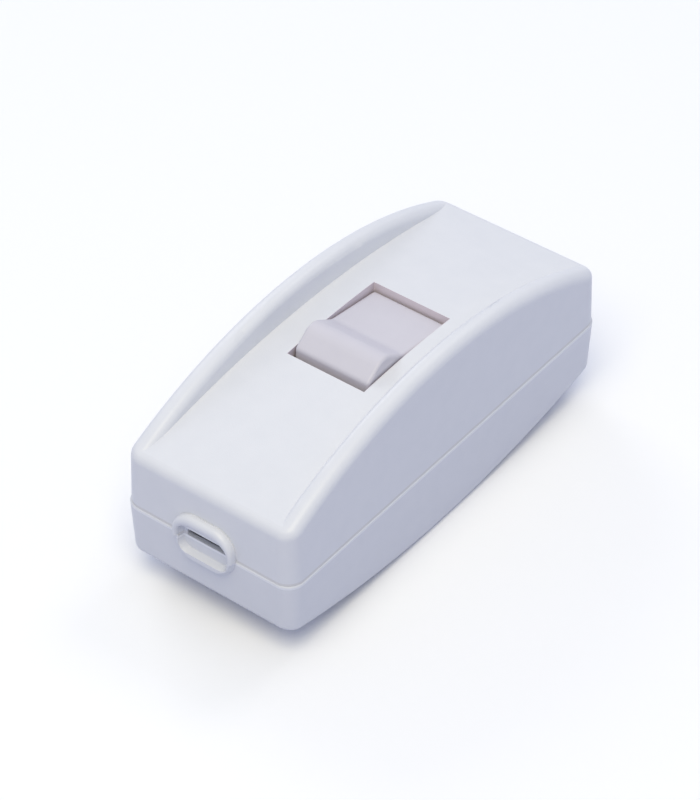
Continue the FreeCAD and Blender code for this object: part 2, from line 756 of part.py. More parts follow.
def rocker():
    """A flat paddle with a thumb ridge at its near end, on two trunnions, with a hollow stem."""
    body = new_body("rocker")
    half, top = "rocker_half_length", "rocker_top"
    outline = [
        (f"-{half} + rocker_lean", "rocker_skirt"),
        (f"-axle_lobe_radius", "rocker_skirt"),
        ("-axle_lobe_radius", "0", "axle_lobe_radius", 1),
        ("0", "-axle_lobe_radius", "axle_lobe_radius", 1),
        ("axle_lobe_radius", "0"),
        ("axle_lobe_radius", "rocker_skirt"),
        (f"{half} - rocker_lean", "rocker_skirt"),
        (half, top),
        ("-valley_reach", top),
        ("-ridge_reach", "ridge_top"),
        (f"-{half}", "ridge_foot"),
    ]
    sketch = draw_outline(new_sketch(body, "rocker_side", "XZ_Plane"), outline)
    add_feature(body, "Pad", sketch, f"2 * {ROCKER_HALF_WIDTH}", both=True)
    sketch = draw_circle(new_sketch(body, "axle", "XZ_Plane"), "0", "0", "axle_radius")
    add_feature(body, "Pad", sketch, "2 * axle_reach", both=True)
    corners = [
        ("valley_radius", "-valley_reach", top),
        ("ridge_radius", "-ridge_reach", "ridge_top"),
        ("2 * rocker_edge_radius", f"-{half}", "ridge_foot"),
        ("rocker_edge_radius", half, top),
    ]
    for radius, x, z in corners:
        at_x, at_z = number(x), number(z)
        add_fillet(body, radius, lambda p: near(p.x, at_x) and near(p.z, at_z))
    side = number(ROCKER_HALF_WIDTH)
    foot = number("rocker_skirt")
    add_fillet(body, "rocker_edge_radius", lambda p: near(abs(p.y), side) and p.z > foot - 1e-3
               and not near(p.z, foot) or near(abs(p.y), side) and near(p.z, foot)
               and near(abs(p.x), number(f"{half} - rocker_lean")))
    roof = f"({top} - rocker_wall)"
    core = f"({half} - rocker_lean - rocker_wall)"
    core_outline = [
        (f"-{core}", "-axle_lobe_radius - 1"),
        (core, "-axle_lobe_radius - 1"),
        (core, roof),
        ("-valley_reach - rocker_wall / 2", roof),
        ("-ridge_reach", "ridge_top - rocker_wall * 1.5"),
        (f"-{core}", "ridge_foot - rocker_wall / 2"),
    ]
    sketch = draw_outline(new_sketch(body, "rocker_core", "XZ_Plane"), core_outline)
    add_feature(body, "Pocket", sketch, f"2 * ({ROCKER_HALF_WIDTH} - rocker_wall)", both=True)
    stem_root = f"({top} - rocker_wall / 2)"
    sketch = draw_circle(new_sketch(body, "stem", "XY_Plane", stem_root), "0", "0",
                         "stem_radius")
    add_feature(body, "Pad", sketch, f"{stem_root} + stem_length", back=True)
    sketch = draw_circle(new_sketch(body, "stem_bore", "XY_Plane", "-stem_length"), "0", "0",
                         "plunger_radius + plunger_clearance")
    add_feature(body, "Pocket", sketch, "stem_length + stem_bore_top", back=True)
    return place(body, z=PIVOT_Z, turn="rocker_tilt")


def turned_body(name, outline):
    """A body turned about its own Z axis from a half outline."""
    body = new_body(name)
    add_revolution(body, draw_outline(new_sketch(body, f"{name}_half", "XZ_Plane"), outline))
    return body


def plunger():
    """The sprung pin in the rocker's stem that tips the contact lever."""
    tip = "plunger_tip_radius"
    centre = f"({tip} - plunger_reach)"
    shoulder = f"({centre} + plunger_radius - {tip})"
    body = turned_body("plunger", [
        ("0", "-plunger_reach", tip, 1),
        (tip, centre),
        ("plunger_radius", shoulder),
        ("plunger_radius", "-plunger_top"),
        ("plunger_peg_radius", "-plunger_top"),
        ("plunger_peg_radius", "-plunger_top + plunger_peg_height"),
        ("0", "-plunger_top + plunger_peg_height"),
    ])
    return place(body, z=PIVOT_Z, turn="rocker_tilt")


def plunger_spring():
    """The coil spring between the plunger's shoulder and the top of the stem's bore."""
    helix = DOC.addObject("Part::Helix", "spring_path")
    height = "(stem_bore_top + plunger_top - 2 * spring_wire)"
    bind(helix, Radius="spring_radius", Height=height, Pitch=f"{height} / spring_turns")
    wire = DOC.addObject("Part::RegularPolygon", "spring_section")
    wire.Polygon = 6
    bind(wire, Circumradius="spring_wire")
    place(wire, x="spring_radius", turn="90", axis=Vector(1, 0, 0))
    coil = DOC.addObject("Part::Sweep", "plunger_spring")
    coil.Sections = [wire]
    coil.Spine = (helix, [])
    coil.Solid = True
    coil.Frenet = True
    foot = "(plunger_top - spring_wire)"
    return place(coil, x=f"-{foot} * sin(rocker_tilt)", z=f"{PIVOT_Z} - {foot} * cos(rocker_tilt)",
                 turn="rocker_tilt")


# Contact lever and contacts. The lever is drawn about the fulcrum and then tilted.

def contact_lever():
    """A shallow brass V that see-saws on the fulcrum, with a hole for its contact."""
    body = new_body("lever_blank")
    end_top = "(lever_rise + lever_half_length * tan(lever_tilt))"
    hub_top = "(lever_rise + lever_hub * tan(lever_tilt) - lever_thickness)"
    groove = "(fulcrum_radius + fulcrum_clearance)"
    sketch = draw_outline(new_sketch(body, "lever_side", "XZ_Plane"), [
        ("0", "lever_rise"),
        ("-lever_half_length", end_top),
        ("-lever_half_length", f"{end_top} - lever_thickness"),
        ("-lever_hub", hub_top),
        ("-lever_hub", "0"),
        (f"-{groove}", "0", groove, -1),
        ("0", groove, groove, -1),
        (groove, "0"),
        ("lever_hub", "0"),
        ("lever_hub", hub_top),
        ("lever_half_length", f"{end_top} - lever_thickness"),
        ("lever_half_length", end_top),
    ])
    add_feature(body, "Pad", sketch, "2 * lever_half_width", both=True)
    x = f"contact_reach * cos(lever_tilt) - {CONTACT_FACE} * sin(lever_tilt)"
    z = f"contact_reach * sin(lever_tilt) + {CONTACT_FACE} * cos(lever_tilt)"
    hole = cylinder("contact_hole", "contact_shank", "2 * lever_thickness",
                    f"{x} + lever_thickness / 2 * sin(lever_tilt)",
                    "0", f"{z} - lever_thickness / 2 * cos(lever_tilt)", "-lever_tilt")
    lever = cut("contact_lever", body, hole)
    return place(lever, z=FULCRUM_Z, turn="-lever_tilt")


def rivet(name, thickness):
    """A contact rivet: its face down, a shank through a strip and a peened end."""
    dome = "(contact_radius * 1.6)"
    rim = f"(contact_head - {arc_drop(dome, 'contact_radius * 0.8')})"
    return turned_body(name, [
        ("0", "-contact_head", dome, 1),
        ("contact_radius * 0.8", f"-{rim}"),
        ("contact_radius", f"-{rim} + contact_radius * 0.1"),
        ("contact_radius", "0"),
        ("contact_shank", "0"),
        ("contact_shank", thickness),
        ("contact_peen_radius", thickness),
        ("contact_peen_radius", f"{thickness} + contact_peen * 0.6"),
        ("contact_peen_radius * 0.7", f"{thickness} + contact_peen"),
        ("0", f"{thickness} + contact_peen"),
    ])


def moving_contact():
    body = rivet("moving_contact", "lever_thickness * cos(lever_tilt)")
    swing = "(2 * lever_tilt)"
    x = f"contact_reach * cos({swing}) - {CONTACT_FACE} * sin({swing})"
    z = f"{FULCRUM_Z} + contact_reach * sin({swing}) + {CONTACT_FACE} * cos({swing})"
    return place(body, x=x, z=z, turn=f"-{swing}")


def fixed_contact():
    body = rivet("fixed_contact", "strip_thickness")
    return place(body, x="contact_reach", z=f"{FIXED_FACE_Z} - contact_head", turn="180",
                 axis=Vector(1, 0, 0))


# Terminals

def terminal_block(name, x, y, seat):
    """A clamp block on a strip, with its wire bore and its screw hole."""
    half = "terminal_length / 2"
    floor = f"({seat} + strip_thickness / 2)"
    top = f"({seat} + strip_thickness + terminal_height)"
    block = box(f"{name}_block", (f"{x} - {half}", f"{x} + {half}"),
                (f"{y} - strip_half_width", f"{y} + strip_half_width"), (floor, top))
    wire_z = f"{seat} + strip_thickness + wire_bore_height"
    bore = long_cylinder(f"{name}_wire_bore", "wire_bore_radius", f"{x} - {half} - 1",
                         f"{x} + {half} + 1", y, wire_z)
    hole = cylinder(f"{name}_screw_hole", "terminal_screw_radius + thread_clearance",
                    "terminal_height", x, y, wire_z)
    return block, [bore, hole]


def strip(name, low, high, y, seat):
    return box(name, (low, high), (f"{y} - strip_half_width", f"{y} + strip_half_width"),
               (seat, f"{seat} + strip_thickness"))


def strip_reach(reach):
    """How far a strip runs under its clamp block, from the middle."""
    return f"({reach} + terminal_length / 2 + 0.4)"


def line_terminal():
    """The common terminal: clamp block, strip, rest for the idle arm and the fulcrum."""
    block, holes = terminal_block("line", "-terminal_reach", "0", "terminal_seat")
    top = "(terminal_seat + strip_thickness)"
    parts = [block, strip("line_strip", f"-{strip_reach('terminal_reach')}", "strip_end", "0",
                          "terminal_seat")]
    half = "lever_half_width"
    parts.append(box("fulcrum_post", ("-fulcrum_radius", "fulcrum_radius"), (f"-{half}", half),
                     (f"{top} - 0.2", FULCRUM_Z)))
    parts.append(cross_cylinder("fulcrum_edge", "fulcrum_radius", f"-{half}", half, "0",
                                FULCRUM_Z))
    ear_top = f"{FULCRUM_Z} + lever_rise * 0.8"
    ears = (("right", ("-strip_half_width", f"-{half} - 0.1")),
            ("left", (f"{half} + 0.1", "strip_half_width")))
    for side, span in ears:
        parts.append(box(f"{side}_ear", ("-strip_end", "strip_end"), span,
                         (f"{top} - 0.2", ear_top)))
    rest_z = f"{FULCRUM_Z} + {CONTACT_FACE} - rest_gap"
    parts.append(box("arm_rest", ("-rest_reach - strip_thickness / 2",
                                  "-rest_reach + strip_thickness / 2"),
                     (f"-{half}", half), (f"{top} - 0.2", rest_z)))
    return cut("line_terminal", fuse("line_parts", parts), *holes)


def load_terminal():
    """The switched terminal: clamp block and a strip that carries the fixed contact."""
    block, holes = terminal_block("load", "terminal_reach", "0", LOAD_SEAT)
    inner = "(contact_reach - contact_radius - 0.3)"
    parts = [block, strip("load_strip", inner, strip_reach("terminal_reach"), "0", LOAD_SEAT)]
    holes.append(cylinder("fixed_contact_hole", "contact_shank", "strip_thickness + 1",
                          "contact_reach", "0", f"{LOAD_SEAT} - 0.5"))
    return cut("load_terminal", fuse("load_parts", parts), *holes)


def neutral_terminal():
    """The through terminal: a strip with a clamp block at each end."""
    outer = strip_reach("neutral_reach")
    parts = [strip("neutral_strip", f"-{outer}", outer, NEUTRAL_OFFSET, "terminal_seat")]
    holes = []
    for side, sign in (("near", "-"), ("far", "")):
        block, bores = terminal_block(f"neutral_{side}", f"{sign}neutral_reach",
                                      NEUTRAL_OFFSET, "terminal_seat")
        parts.append(block)
        holes += bores
    return cut("neutral_terminal", fuse("neutral_parts", parts), *holes)


# Cord clamps and screws

def cord_clamp(side, sign):
    """The bar that presses the cord down on its saddle."""
    body = new_body(f"{side}_cord_clamp")
    half = f"({CLAMP_SCREW_OFFSET} + clamp_overhang)"
    chamfer = "clamp_thickness / 4"
    sketch = draw_outline(new_sketch(body, f"{side}_clamp_section", "YZ_Plane"), [
        (f"-{half}", "0"),
        ("-saddle_half_width", "0"),
        ("-saddle_half_width + saddle_rib", "-saddle_rib"),
        ("saddle_half_width - saddle_rib", "-saddle_rib"),
        ("saddle_half_width", "0"),
        (half, "0"),
        (half, f"clamp_thickness - {chamfer}"),
        (f"{half} - {chamfer}", "clamp_thickness"),
        (f"-{half} + {chamfer}", "clamp_thickness"),
        (f"-{half}", f"clamp_thickness - {chamfer}"),
    ])
    add_feature(body, "Pad", sketch, "clamp_length", both=True)
    sketch = new_sketch(body, f"{side}_clamp_holes", "XY_Plane")
    radius = "clamp_screw_radius + clamp_hole_clearance"
    draw_circle(sketch, "0", CLAMP_SCREW_OFFSET, radius)
    draw_circle(sketch, "0", f"-{CLAMP_SCREW_OFFSET}", radius)
    add_feature(body, "Pocket", sketch, both=True)
    return place(body, x=f"{sign} * {CLAMP_REACH}", z=CLAMP_SEAT)


def screw(name, head_radius, head, radius, length, crossed=False):
    """A pan-head screw, head up, with the underside of its head at its origin."""
    body = turned_body(name, [
        ("0", f"-{length}"),
        (f"{radius} * 0.45", f"-{length}"),
        (radius, f"-{length} + {radius}"),
        (radius, "0"),
        (head_radius, "0"),
        (head_radius, f"{head} * 0.6"),
        (f"{head_radius} * 0.75", head),
        ("0", head),
    ])
    sketch = new_sketch(body, f"{name}_slot", "XY_Plane", head)
    half = "(screw_slot / 2)"
    reach = f"({head_radius} * 0.62)" if crossed else f"({head_radius} + 0.5)"
    if crossed:
        corners = [(f"-{half}", f"-{reach}"), (half, f"-{reach}"), (half, f"-{half}"),
                   (reach, f"-{half}"), (reach, half), (half, half), (half, reach),
                   (f"-{half}", reach), (f"-{half}", half), (f"-{reach}", half),
                   (f"-{reach}", f"-{half}"), (f"-{half}", f"-{half}")]
    else:
        corners = [(f"-{reach}", f"-{half}"), (reach, f"-{half}"), (reach, half),
                   (f"-{reach}", half)]
    draw_outline(sketch, corners)
    add_feature(body, "Pocket", sketch, f"{head} * 0.6")
    return body


def terminal_screws():
    """One screw in each clamp block, backed off until its wire bore is clear."""
    spots = [
        ("line_terminal_screw", "-terminal_reach", "0", "terminal_seat"),
        ("load_terminal_screw", "terminal_reach", "0", LOAD_SEAT),
        ("near_neutral_screw", "-neutral_reach", NEUTRAL_OFFSET, "terminal_seat"),
        ("far_neutral_screw", "neutral_reach", NEUTRAL_OFFSET, "terminal_seat"),
    ]
    open_height = "wire_bore_height + wire_bore_radius + terminal_screw_gap"
    screws = []
    for name, x, y, seat in spots:
        body = screw(name, "terminal_head_radius", "terminal_head", "terminal_screw_radius",
                     "terminal_screw_length")
        screws.append(place(body, x, y, f"{seat} + strip_thickness + {open_height}"
                            " + terminal_screw_length"))
    return screws


def clamp_screws():
    """Two screws through each cord clamp."""
    screws = []
    for side, sign in (("near", -1), ("far", 1)):
        for hand, turn in (("right", -1), ("left", 1)):
            body = screw(f"{side}_{hand}_clamp_screw", "clamp_head_radius", "clamp_head",
                         "clamp_screw_radius", "clamp_screw_length")
            screws.append(place(body, f"{sign} * {CLAMP_REACH}", f"{turn} * {CLAMP_SCREW_OFFSET}",
                                f"{CLAMP_SEAT} + clamp_thickness"))
    return screws


def case_screws():
    """Two screws from below that hold the shells together."""
    screws = []
    for side, sign in (("near", -1), ("far", 1)):
        body = screw(f"{side}_case_screw", "case_head_radius", "case_head",
                     "case_screw_radius", "case_screw_length", crossed=True)
        screws.append(place(body, f"{sign} * {CASE_SCREW_REACH}", f"{sign} * {CASE_SCREW_OFFSET}",
                            "case_head_seat", "180", Vector(1, 0, 0)))
    return screws


def check(pieces):
    """Stop if any object failed to build or any piece has no valid shape."""
    failed = [thing.Name for thing in DOC.Objects
              if {"Invalid", "Error"} & set(thing.State)]
    if failed:
        raise RuntimeError(f"objects failed: {failed}")
    for piece in pieces:
        shape = piece.Shape
        if shape.isNull() or not shape.isValid() or len(shape.Solids) != 1:
            raise RuntimeError(f"{piece.Label} has no single valid solid")


def main():
    fill_sheet()
    pieces = [
        upper_shell(), lower_shell(), rocker(), plunger(), plunger_spring(),
        contact_lever(), moving_contact(), fixed_contact(),
        line_terminal(), load_terminal(), neutral_terminal(),
        cord_clamp("near", -1), cord_clamp("far", 1),
        *terminal_screws(), *clamp_screws(), *case_screws(),
    ]
    DOC.recompute()
    check(pieces)
    os.makedirs("parts", exist_ok=True)
    for piece in pieces:
        shape = piece.Shape
        shape.exportStep(f"parts/{piece.Label}.step")
        print(f"{piece.Label}: {shape.Volume:.2f} mm3, {len(shape.Faces)} faces")


main()
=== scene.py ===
import json
import logging
import math
from dataclasses import dataclass, field, replace
from enum import Enum
from functools import cached_property

import bpy
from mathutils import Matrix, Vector

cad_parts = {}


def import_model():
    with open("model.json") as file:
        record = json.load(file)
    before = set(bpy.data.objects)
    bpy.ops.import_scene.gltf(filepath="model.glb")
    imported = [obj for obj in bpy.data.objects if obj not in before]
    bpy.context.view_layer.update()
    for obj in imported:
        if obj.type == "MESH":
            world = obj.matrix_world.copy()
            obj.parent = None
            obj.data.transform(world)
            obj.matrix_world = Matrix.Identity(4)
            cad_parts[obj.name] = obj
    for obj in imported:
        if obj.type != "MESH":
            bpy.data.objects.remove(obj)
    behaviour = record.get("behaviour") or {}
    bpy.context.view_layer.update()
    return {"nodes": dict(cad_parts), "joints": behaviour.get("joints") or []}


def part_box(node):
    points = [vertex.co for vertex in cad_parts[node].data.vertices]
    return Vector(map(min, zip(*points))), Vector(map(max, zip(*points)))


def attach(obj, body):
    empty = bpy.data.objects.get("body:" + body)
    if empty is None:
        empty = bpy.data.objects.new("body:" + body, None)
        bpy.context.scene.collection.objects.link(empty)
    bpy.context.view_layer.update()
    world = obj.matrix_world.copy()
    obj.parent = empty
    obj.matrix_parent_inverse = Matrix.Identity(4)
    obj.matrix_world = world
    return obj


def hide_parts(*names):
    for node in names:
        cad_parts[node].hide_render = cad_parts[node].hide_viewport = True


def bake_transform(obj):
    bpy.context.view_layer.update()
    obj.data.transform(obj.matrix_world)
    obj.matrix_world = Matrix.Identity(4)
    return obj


LOG = logging.getLogger("inline_cord_switch")
MM = 0.001
WHITE = (1.0, 1.0, 1.0, 1.0)
NOISE_MEAN = 0.5

# A colour mix has sockets of the same name for each kind of value, so these go by number
MIX_SHARE = 0
MIX_FIRST = 6
MIX_SECOND = 7
MIX_RESULT = 2

# What goes into a node's input: another node's socket, or a constant
Colour = tuple[float, float, float, float]
Triple = tuple[float, float, float]
Value = bpy.types.NodeSocket | float | Triple | Colour


class Body(Enum):
    """The bodies that the new pieces ride on, by their names in the frame."""

    HOUSING = "housing"
    ROCKER = "rocker"
    PLUNGER = "plunger"


class Grain(Enum):
    """How coarse a finish's surface is, in ripples per metre."""

    FINE = 9000.0
    SOFT = 3200.0


# Node helpers: a value that is a socket is linked, and any other is set


def feed(tree: bpy.types.NodeTree, target: bpy.types.NodeSocket, value: Value) -> None:
    """Link a socket into an input, or set the input to a constant.

    Args:
        tree: The node tree.
        target: The input.
        value: A socket, a number, a colour or a vector.
    """
    if isinstance(value, bpy.types.NodeSocket):
        tree.links.new(value, target)
    else:
        target.default_value = value


def add_math(tree: bpy.types.NodeTree, operation: str, *values: Value) -> bpy.types.NodeSocket:
    """Add one calculation.

    Args:
        tree: The node tree.
        operation: What it does.
        values: What it works on.

    Returns:
        Its result.
    """
    node = tree.nodes.new("ShaderNodeMath")
    node.operation = operation
    for target, value in zip(node.inputs, values):
        feed(tree, target, value)
    return node.outputs[0]


def add_mix(tree: bpy.types.NodeTree, share: Value, first: Value,
            second: Value) -> bpy.types.NodeSocket:
    """Add a mix of two colours.

    Args:
        tree: The node tree.
        share: How much of the second colour shows.
        first: The first colour.
        second: The second colour.

    Returns:
        The mixed colour.
    """
    node = tree.nodes.new("ShaderNodeMix")
    node.data_type = "RGBA"
    for place, value in ((MIX_SHARE, share), (MIX_FIRST, first), (MIX_SECOND, second)):
        feed(tree, node.inputs[place], value)
    return node.outputs[MIX_RESULT]


def add_noise(tree: bpy.types.NodeTree, place: Value, scale: Value,
              detail: float) -> bpy.types.NodeSocket:
    """Add a noise pattern.

    Args:
        tree: The node tree.
        place: The coordinates.
        scale: Ripples per metre.
        detail: How many finer layers it has.

    Returns:
        The pattern's value.
    """
    node = tree.nodes.new("ShaderNodeTexNoise")
    feed(tree, node.inputs["Vector"], place)
    feed(tree, node.inputs["Scale"], scale)
    feed(tree, node.inputs["Detail"], detail)
    return node.outputs["Fac"]


def add_group(tree: bpy.types.NodeTree, group: bpy.types.NodeTree,
              values: dict[str, Value]) -> bpy.types.NodeOutputs:
    """Add a shared group.

    Args:
        tree: The node tree.
        group: The group.
        values: What goes into each of its inputs.

    Returns:
        Its outputs.
    """
    node = tree.nodes.new("ShaderNodeGroup")
    node.node_tree = group
    for label, value in values.items():
        feed(tree, node.inputs[label], value)
    return node.outputs


def add_relief(tree: bpy.types.NodeTree, height: Value, depth: float) -> bpy.types.NodeSocket:
    """Add a fine surface relief.

    Args:
        tree: The node tree.
        height: The pattern.
        depth: Its depth, in metres.

    Returns:
        The bent normal.
    """
    node = tree.nodes.new("ShaderNodeBump")
    node.inputs["Strength"].default_value = 1.0
    node.inputs["Distance"].default_value = depth
    feed(tree, node.inputs["Height"], height)
    return node.outputs["Normal"]


def add_place(tree: bpy.types.NodeTree) -> bpy.types.NodeSocket:
    """Add the object's own coordinates, which are the part's."""
    return tree.nodes.new("ShaderNodeTexCoord").outputs["Object"]


def add_seen_mask(tree: bpy.types.NodeTree) -> bpy.types.NodeSocket:
    """Add a mask that is 1 for what the camera, a gloss or a clear piece shows.

    Args:
        tree: The node tree.

    Returns:
        The mask.
    """
    ray = tree.nodes.new("ShaderNodeLightPath").outputs
    mask = ray["Is Camera Ray"]
    for label in ("Is Glossy Ray", "Is Transmission Ray"):
        mask = add_math(tree, "MAXIMUM", mask, ray[label])
    return mask


# Shader node groups that several finishes share


def new_group(name: str, inputs: dict[str, float | Colour], outputs: tuple[str, ...]) -> tuple[
        bpy.types.NodeTree, bpy.types.NodeOutputs, bpy.types.NodeInputs]:
    """Make a group with named sockets and nothing between them.

    Args:
        name: The group's name.
        inputs: Default value of each input; a tuple makes a colour socket.
        outputs: The outputs; the one named Colour is a colour.

    Returns:
        The group, the sockets that bring its inputs, and those that take its outputs.
    """
    group = bpy.data.node_groups.new(name, "ShaderNodeTree")
    for label, value in inputs.items():
        kind = "NodeSocketColor" if isinstance(value, tuple) else "NodeSocketFloat"
        socket = group.interface.new_socket(label, in_out="INPUT", socket_type=kind)
        socket.default_value = value
    for label in outputs:
        kind = "NodeSocketColor" if label == "Colour" else "NodeSocketFloat"
        group.interface.new_socket(label, in_out="OUTPUT", socket_type=kind)
    given = group.nodes.new("NodeGroupInput").outputs
    result = group.nodes.new("NodeGroupOutput").inputs
    return group, given, result


@dataclass
class ShaderKit:
    """Builds each shared shader node group on first use and hands out the same one after.

    Attributes:
        cloud_scale: Clouds in the plastic's colour, per metre.
        cloud_detail: Finer layers of those clouds.
        grain_detail: Finer layers of the mould texture.
        streak_scale: Streaks in the metal along X, Y and Z, per metre.
        streak_detail: Finer layers of the streaks.
        streak_roughness: How much a streak adds to the roughness.
        patch_scale: Patches of tarnish, per metre.
        patch_detail: Finer layers of those patches.
    """

    cloud_scale: float = 420.0
    cloud_detail: float = 3.0
    grain_detail: float = 2.0
    streak_scale: Triple = (400.0, 6000.0, 6000.0)
    streak_detail: float = 2.0
    streak_roughness: float = 0.15
    patch_scale: float = 500.0
    patch_detail: float = 4.0

    @cached_property
    def moulded_skin(self) -> bpy.types.NodeTree:
        """Spark-eroded mould texture: a fine height, and a faint cloudiness in the colour.

        Returns:
            The shared group.
        """
        group, given, result = new_group(
            "moulded_skin",
            {"Colour": (0.8, 0.8, 0.8, 1.0), "Shade": (0.7, 0.7, 0.7, 1.0), "Cloudiness": 0.3,
             "Grain": Grain.FINE.value, "Roughness": 0.4, "Spread": 0.05},
            ("Colour", "Roughness", "Height"))
        place = add_place(group)
        cloud = add_noise(group, place, self.cloud_scale, self.cloud_detail)
        amount = add_math(group, "MULTIPLY", cloud, given["Cloudiness"])
        feed(group, result["Colour"], add_mix(group, amount, given["Colour"], given["Shade"]))
        centred = add_math(group, "SUBTRACT", cloud, NOISE_MEAN)
        feed(group, result["Roughness"], add_math(group, "MULTIPLY_ADD", centred,
                                                  given["Spread"], given["Roughness"]))
        feed(group, result["Height"], add_noise(group, place, given["Grain"],
                                                self.grain_detail))
        return group

    @cached_property
    def drawn_metal(self) -> bpy.types.NodeTree:
        """Rolled or drawn metal: streaks along X in the roughness, tarnish in the colour.

        Returns:
            The shared group.
        """
        group, given, result = new_group(
            "drawn_metal",
            {"Colour": (0.8, 0.7, 0.4, 1.0), "Tarnish": (0.5, 0.35, 0.2, 1.0),
             "Age": 0.3, "Roughness": 0.3},
            ("Colour", "Roughness", "Height"))
        place = add_place(group)
        stretch = group.nodes.new("ShaderNodeMapping")
        feed(group, stretch.inputs["Vector"], place)
        feed(group, stretch.inputs["Scale"], self.streak_scale)
        streak = add_noise(group, stretch.outputs["Vector"], 1.0, self.streak_detail)
        feed(group, result["Height"], streak)
        feed(group, result["Roughness"], add_math(group, "MULTIPLY_ADD", streak,
                                                  self.streak_roughness, given["Roughness"]))
        patch = add_noise(group, place, self.patch_scale, self.patch_detail)
        age = add_math(group, "MULTIPLY", patch, given["Age"])
        feed(group, result["Colour"], add_mix(group, age, given["Colour"], given["Tarnish"]))
        return group

    @cached_property
    def zone(self) -> bpy.types.NodeTree:
        """A mask over one box of the part, such as the walls of an opening or a rim, where shade
        or a highlight is painted.

        Returns:
            The shared group.
        """
        group, given, result = new_group(
            "zone", {"Half X": 1.0, "Half Y": 1.0, "Middle Z": 0.0, "Half Z": 1.0}, ("Mask",))
        parts = group.nodes.new("ShaderNodeSeparateXYZ")
        feed(group, parts.inputs["Vector"], add_place(group))
        level = add_math(group, "SUBTRACT", parts.outputs["Z"], given["Middle Z"])
        inside: Value = 1.0
        for value, limit in ((parts.outputs["X"], "Half X"), (parts.outputs["Y"], "Half Y"),
                             (level, "Half Z")):
            size = add_math(group, "ABSOLUTE", value)
            test = add_math(group, "LESS_THAN", size, given[limit])
            inside = add_math(group, "MULTIPLY", inside, test)
        feed(group, result["Mask"], inside)
        return group


# Finishes


def srgb(red: int, green: int, blue: int) -> Colour:
    """Turn a display colour into the linear colour that a shader takes, by the sRGB curve.

    Args:
        red: Red, from 0 to 255.
        green: Green.
        blue: Blue.

    Returns:
        The linear colour, opaque.
    """
    def linear(value: int) -> float:
        """Turn one channel into its linear share."""
        share = value / 255
        return share / 12.92 if share <= 0.04045 else ((share + 0.055) / 1.055) ** 2.4
    return linear(red), linear(green), linear(blue), 1.0


@dataclass(frozen=True)
class Zone:
    """A box of the part where a finish paints shade or a highlight in another colour.

    Attributes:
        colour: The painted shade or highlight colour inside the box.
        half_x: Half of its length along X, in metres.
        half_y: Half of its length along Y.
        middle_z: Height of its middle.
        half_z: Half of its height.
    """

    colour: Colour
    half_x: float = 1.0
    half_y: float = 1.0
    middle_z: float = 0.0
    half_z: float = 1.0


@dataclass(frozen=True)
class MouldedPlastic:
    """A moulded thermoplastic with a spark-eroded skin.

    Attributes:
        name: The material's name.
        colour: Its main colour.
        shade: The colour that it clouds towards.
        roughness: Mean roughness.
        grain: Coarseness of the mould texture.
        relief: Depth of the texture, in metres.
        cloudiness: How much of the shade shows.
        bending: Index of refraction.
        zones: Boxes with another colour: painted shade or painted highlights.
    """

    name: str
    colour: Colour
    shade: Colour
    roughness: float = 0.36
    grain: Grain = Grain.FINE
    relief: float = 0.00001
    cloudiness: float = 0.7
    bending: float = 1.5
    zones: tuple[Zone, ...] = ()

    def build(self, kit: ShaderKit) -> bpy.types.Material:
        """Make the material.

        Args:
            kit: The shared node groups.

        Returns:
            The new material.
        """
        material = bpy.data.materials.new(self.name)
        material.use_nodes = True
        tree = material.node_tree
        shader = tree.nodes["Principled BSDF"].inputs
        skin = add_group(tree, kit.moulded_skin, {
            "Colour": self.colour, "Shade": self.shade, "Cloudiness": self.cloudiness,
            "Grain": self.grain.value, "Roughness": self.roughness})
        colour = skin["Colour"]
        # Each zone paints its shade or highlight over the skin's colour inside its box
        for zone in self.zones:
            mask = add_group(tree, kit.zone, {
                "Half X": zone.half_x, "Half Y": zone.half_y,
                "Middle Z": zone.middle_z, "Half Z": zone.half_z})["Mask"]
            colour = add_mix(tree, mask, colour, zone.colour)
        feed(tree, shader["Base Color"], colour)
        feed(tree, shader["Roughness"], skin["Roughness"])
        feed(tree, shader["Normal"], add_relief(tree, skin["Height"], self.relief))
        shader["IOR"].default_value = self.bending
        return material


@dataclass(frozen=True)
class Metal:
    """A rolled, drawn or plated metal.

    Attributes:
        name: The material's name.
        colour: Its clean colour.
        tarnish: The colour that it ages towards.
        age: How much of the tarnish shows.
        roughness: Least roughness.
        relief: Depth of the streaks, in metres.
    """

    name: str
    colour: Colour
    tarnish: Colour
    age: float = 0.4
    roughness: float = 0.25
    relief: float = 0.000004

    def build(self, kit: ShaderKit) -> bpy.types.Material:
        """Make the material.

        Args:
            kit: The shared node groups.

        Returns:
            The new material.
        """
        material = bpy.data.materials.new(self.name)
        material.use_nodes = True
        tree = material.node_tree
        shader = tree.nodes["Principled BSDF"].inputs
        metal = add_group(tree, kit.drawn_metal, {
            "Colour": self.colour, "Tarnish": self.tarnish, "Age": self.age,
            "Roughness": self.roughness})
        feed(tree, shader["Base Color"], metal["Colour"])
        feed(tree, shader["Roughness"], metal["Roughness"])
        feed(tree, shader["Normal"], add_relief(tree, metal["Height"], self.relief))
        shader["Metallic"].default_value = 1.0
        return material


HOUSING_WHITE = MouldedPlastic("housing_white", srgb(227, 228, 232), srgb(219, 221, 226))
# Painted shade with a pink tint of light bounced off the rocker, on the upper shell's walls
# round the rocker's opening
OPENING_PAINTED_SHADE = Zone(srgb(218, 208, 214), half_x=8.2 * MM, half_y=5.55 * MM)
# Painted shadow: a darker band along the upper shell's lower edge, above the seam
SEAM_PAINTED_SHADOW = Zone(srgb(216, 215, 216), middle_z=11.34 * MM, half_z=0.17 * MM)
# Painted shadow: a darker line along the top of the lower shell's rim, in the seam
RIM_PAINTED_SHADOW = Zone(srgb(213, 215, 220), middle_z=11.1 * MM, half_z=0.07 * MM)
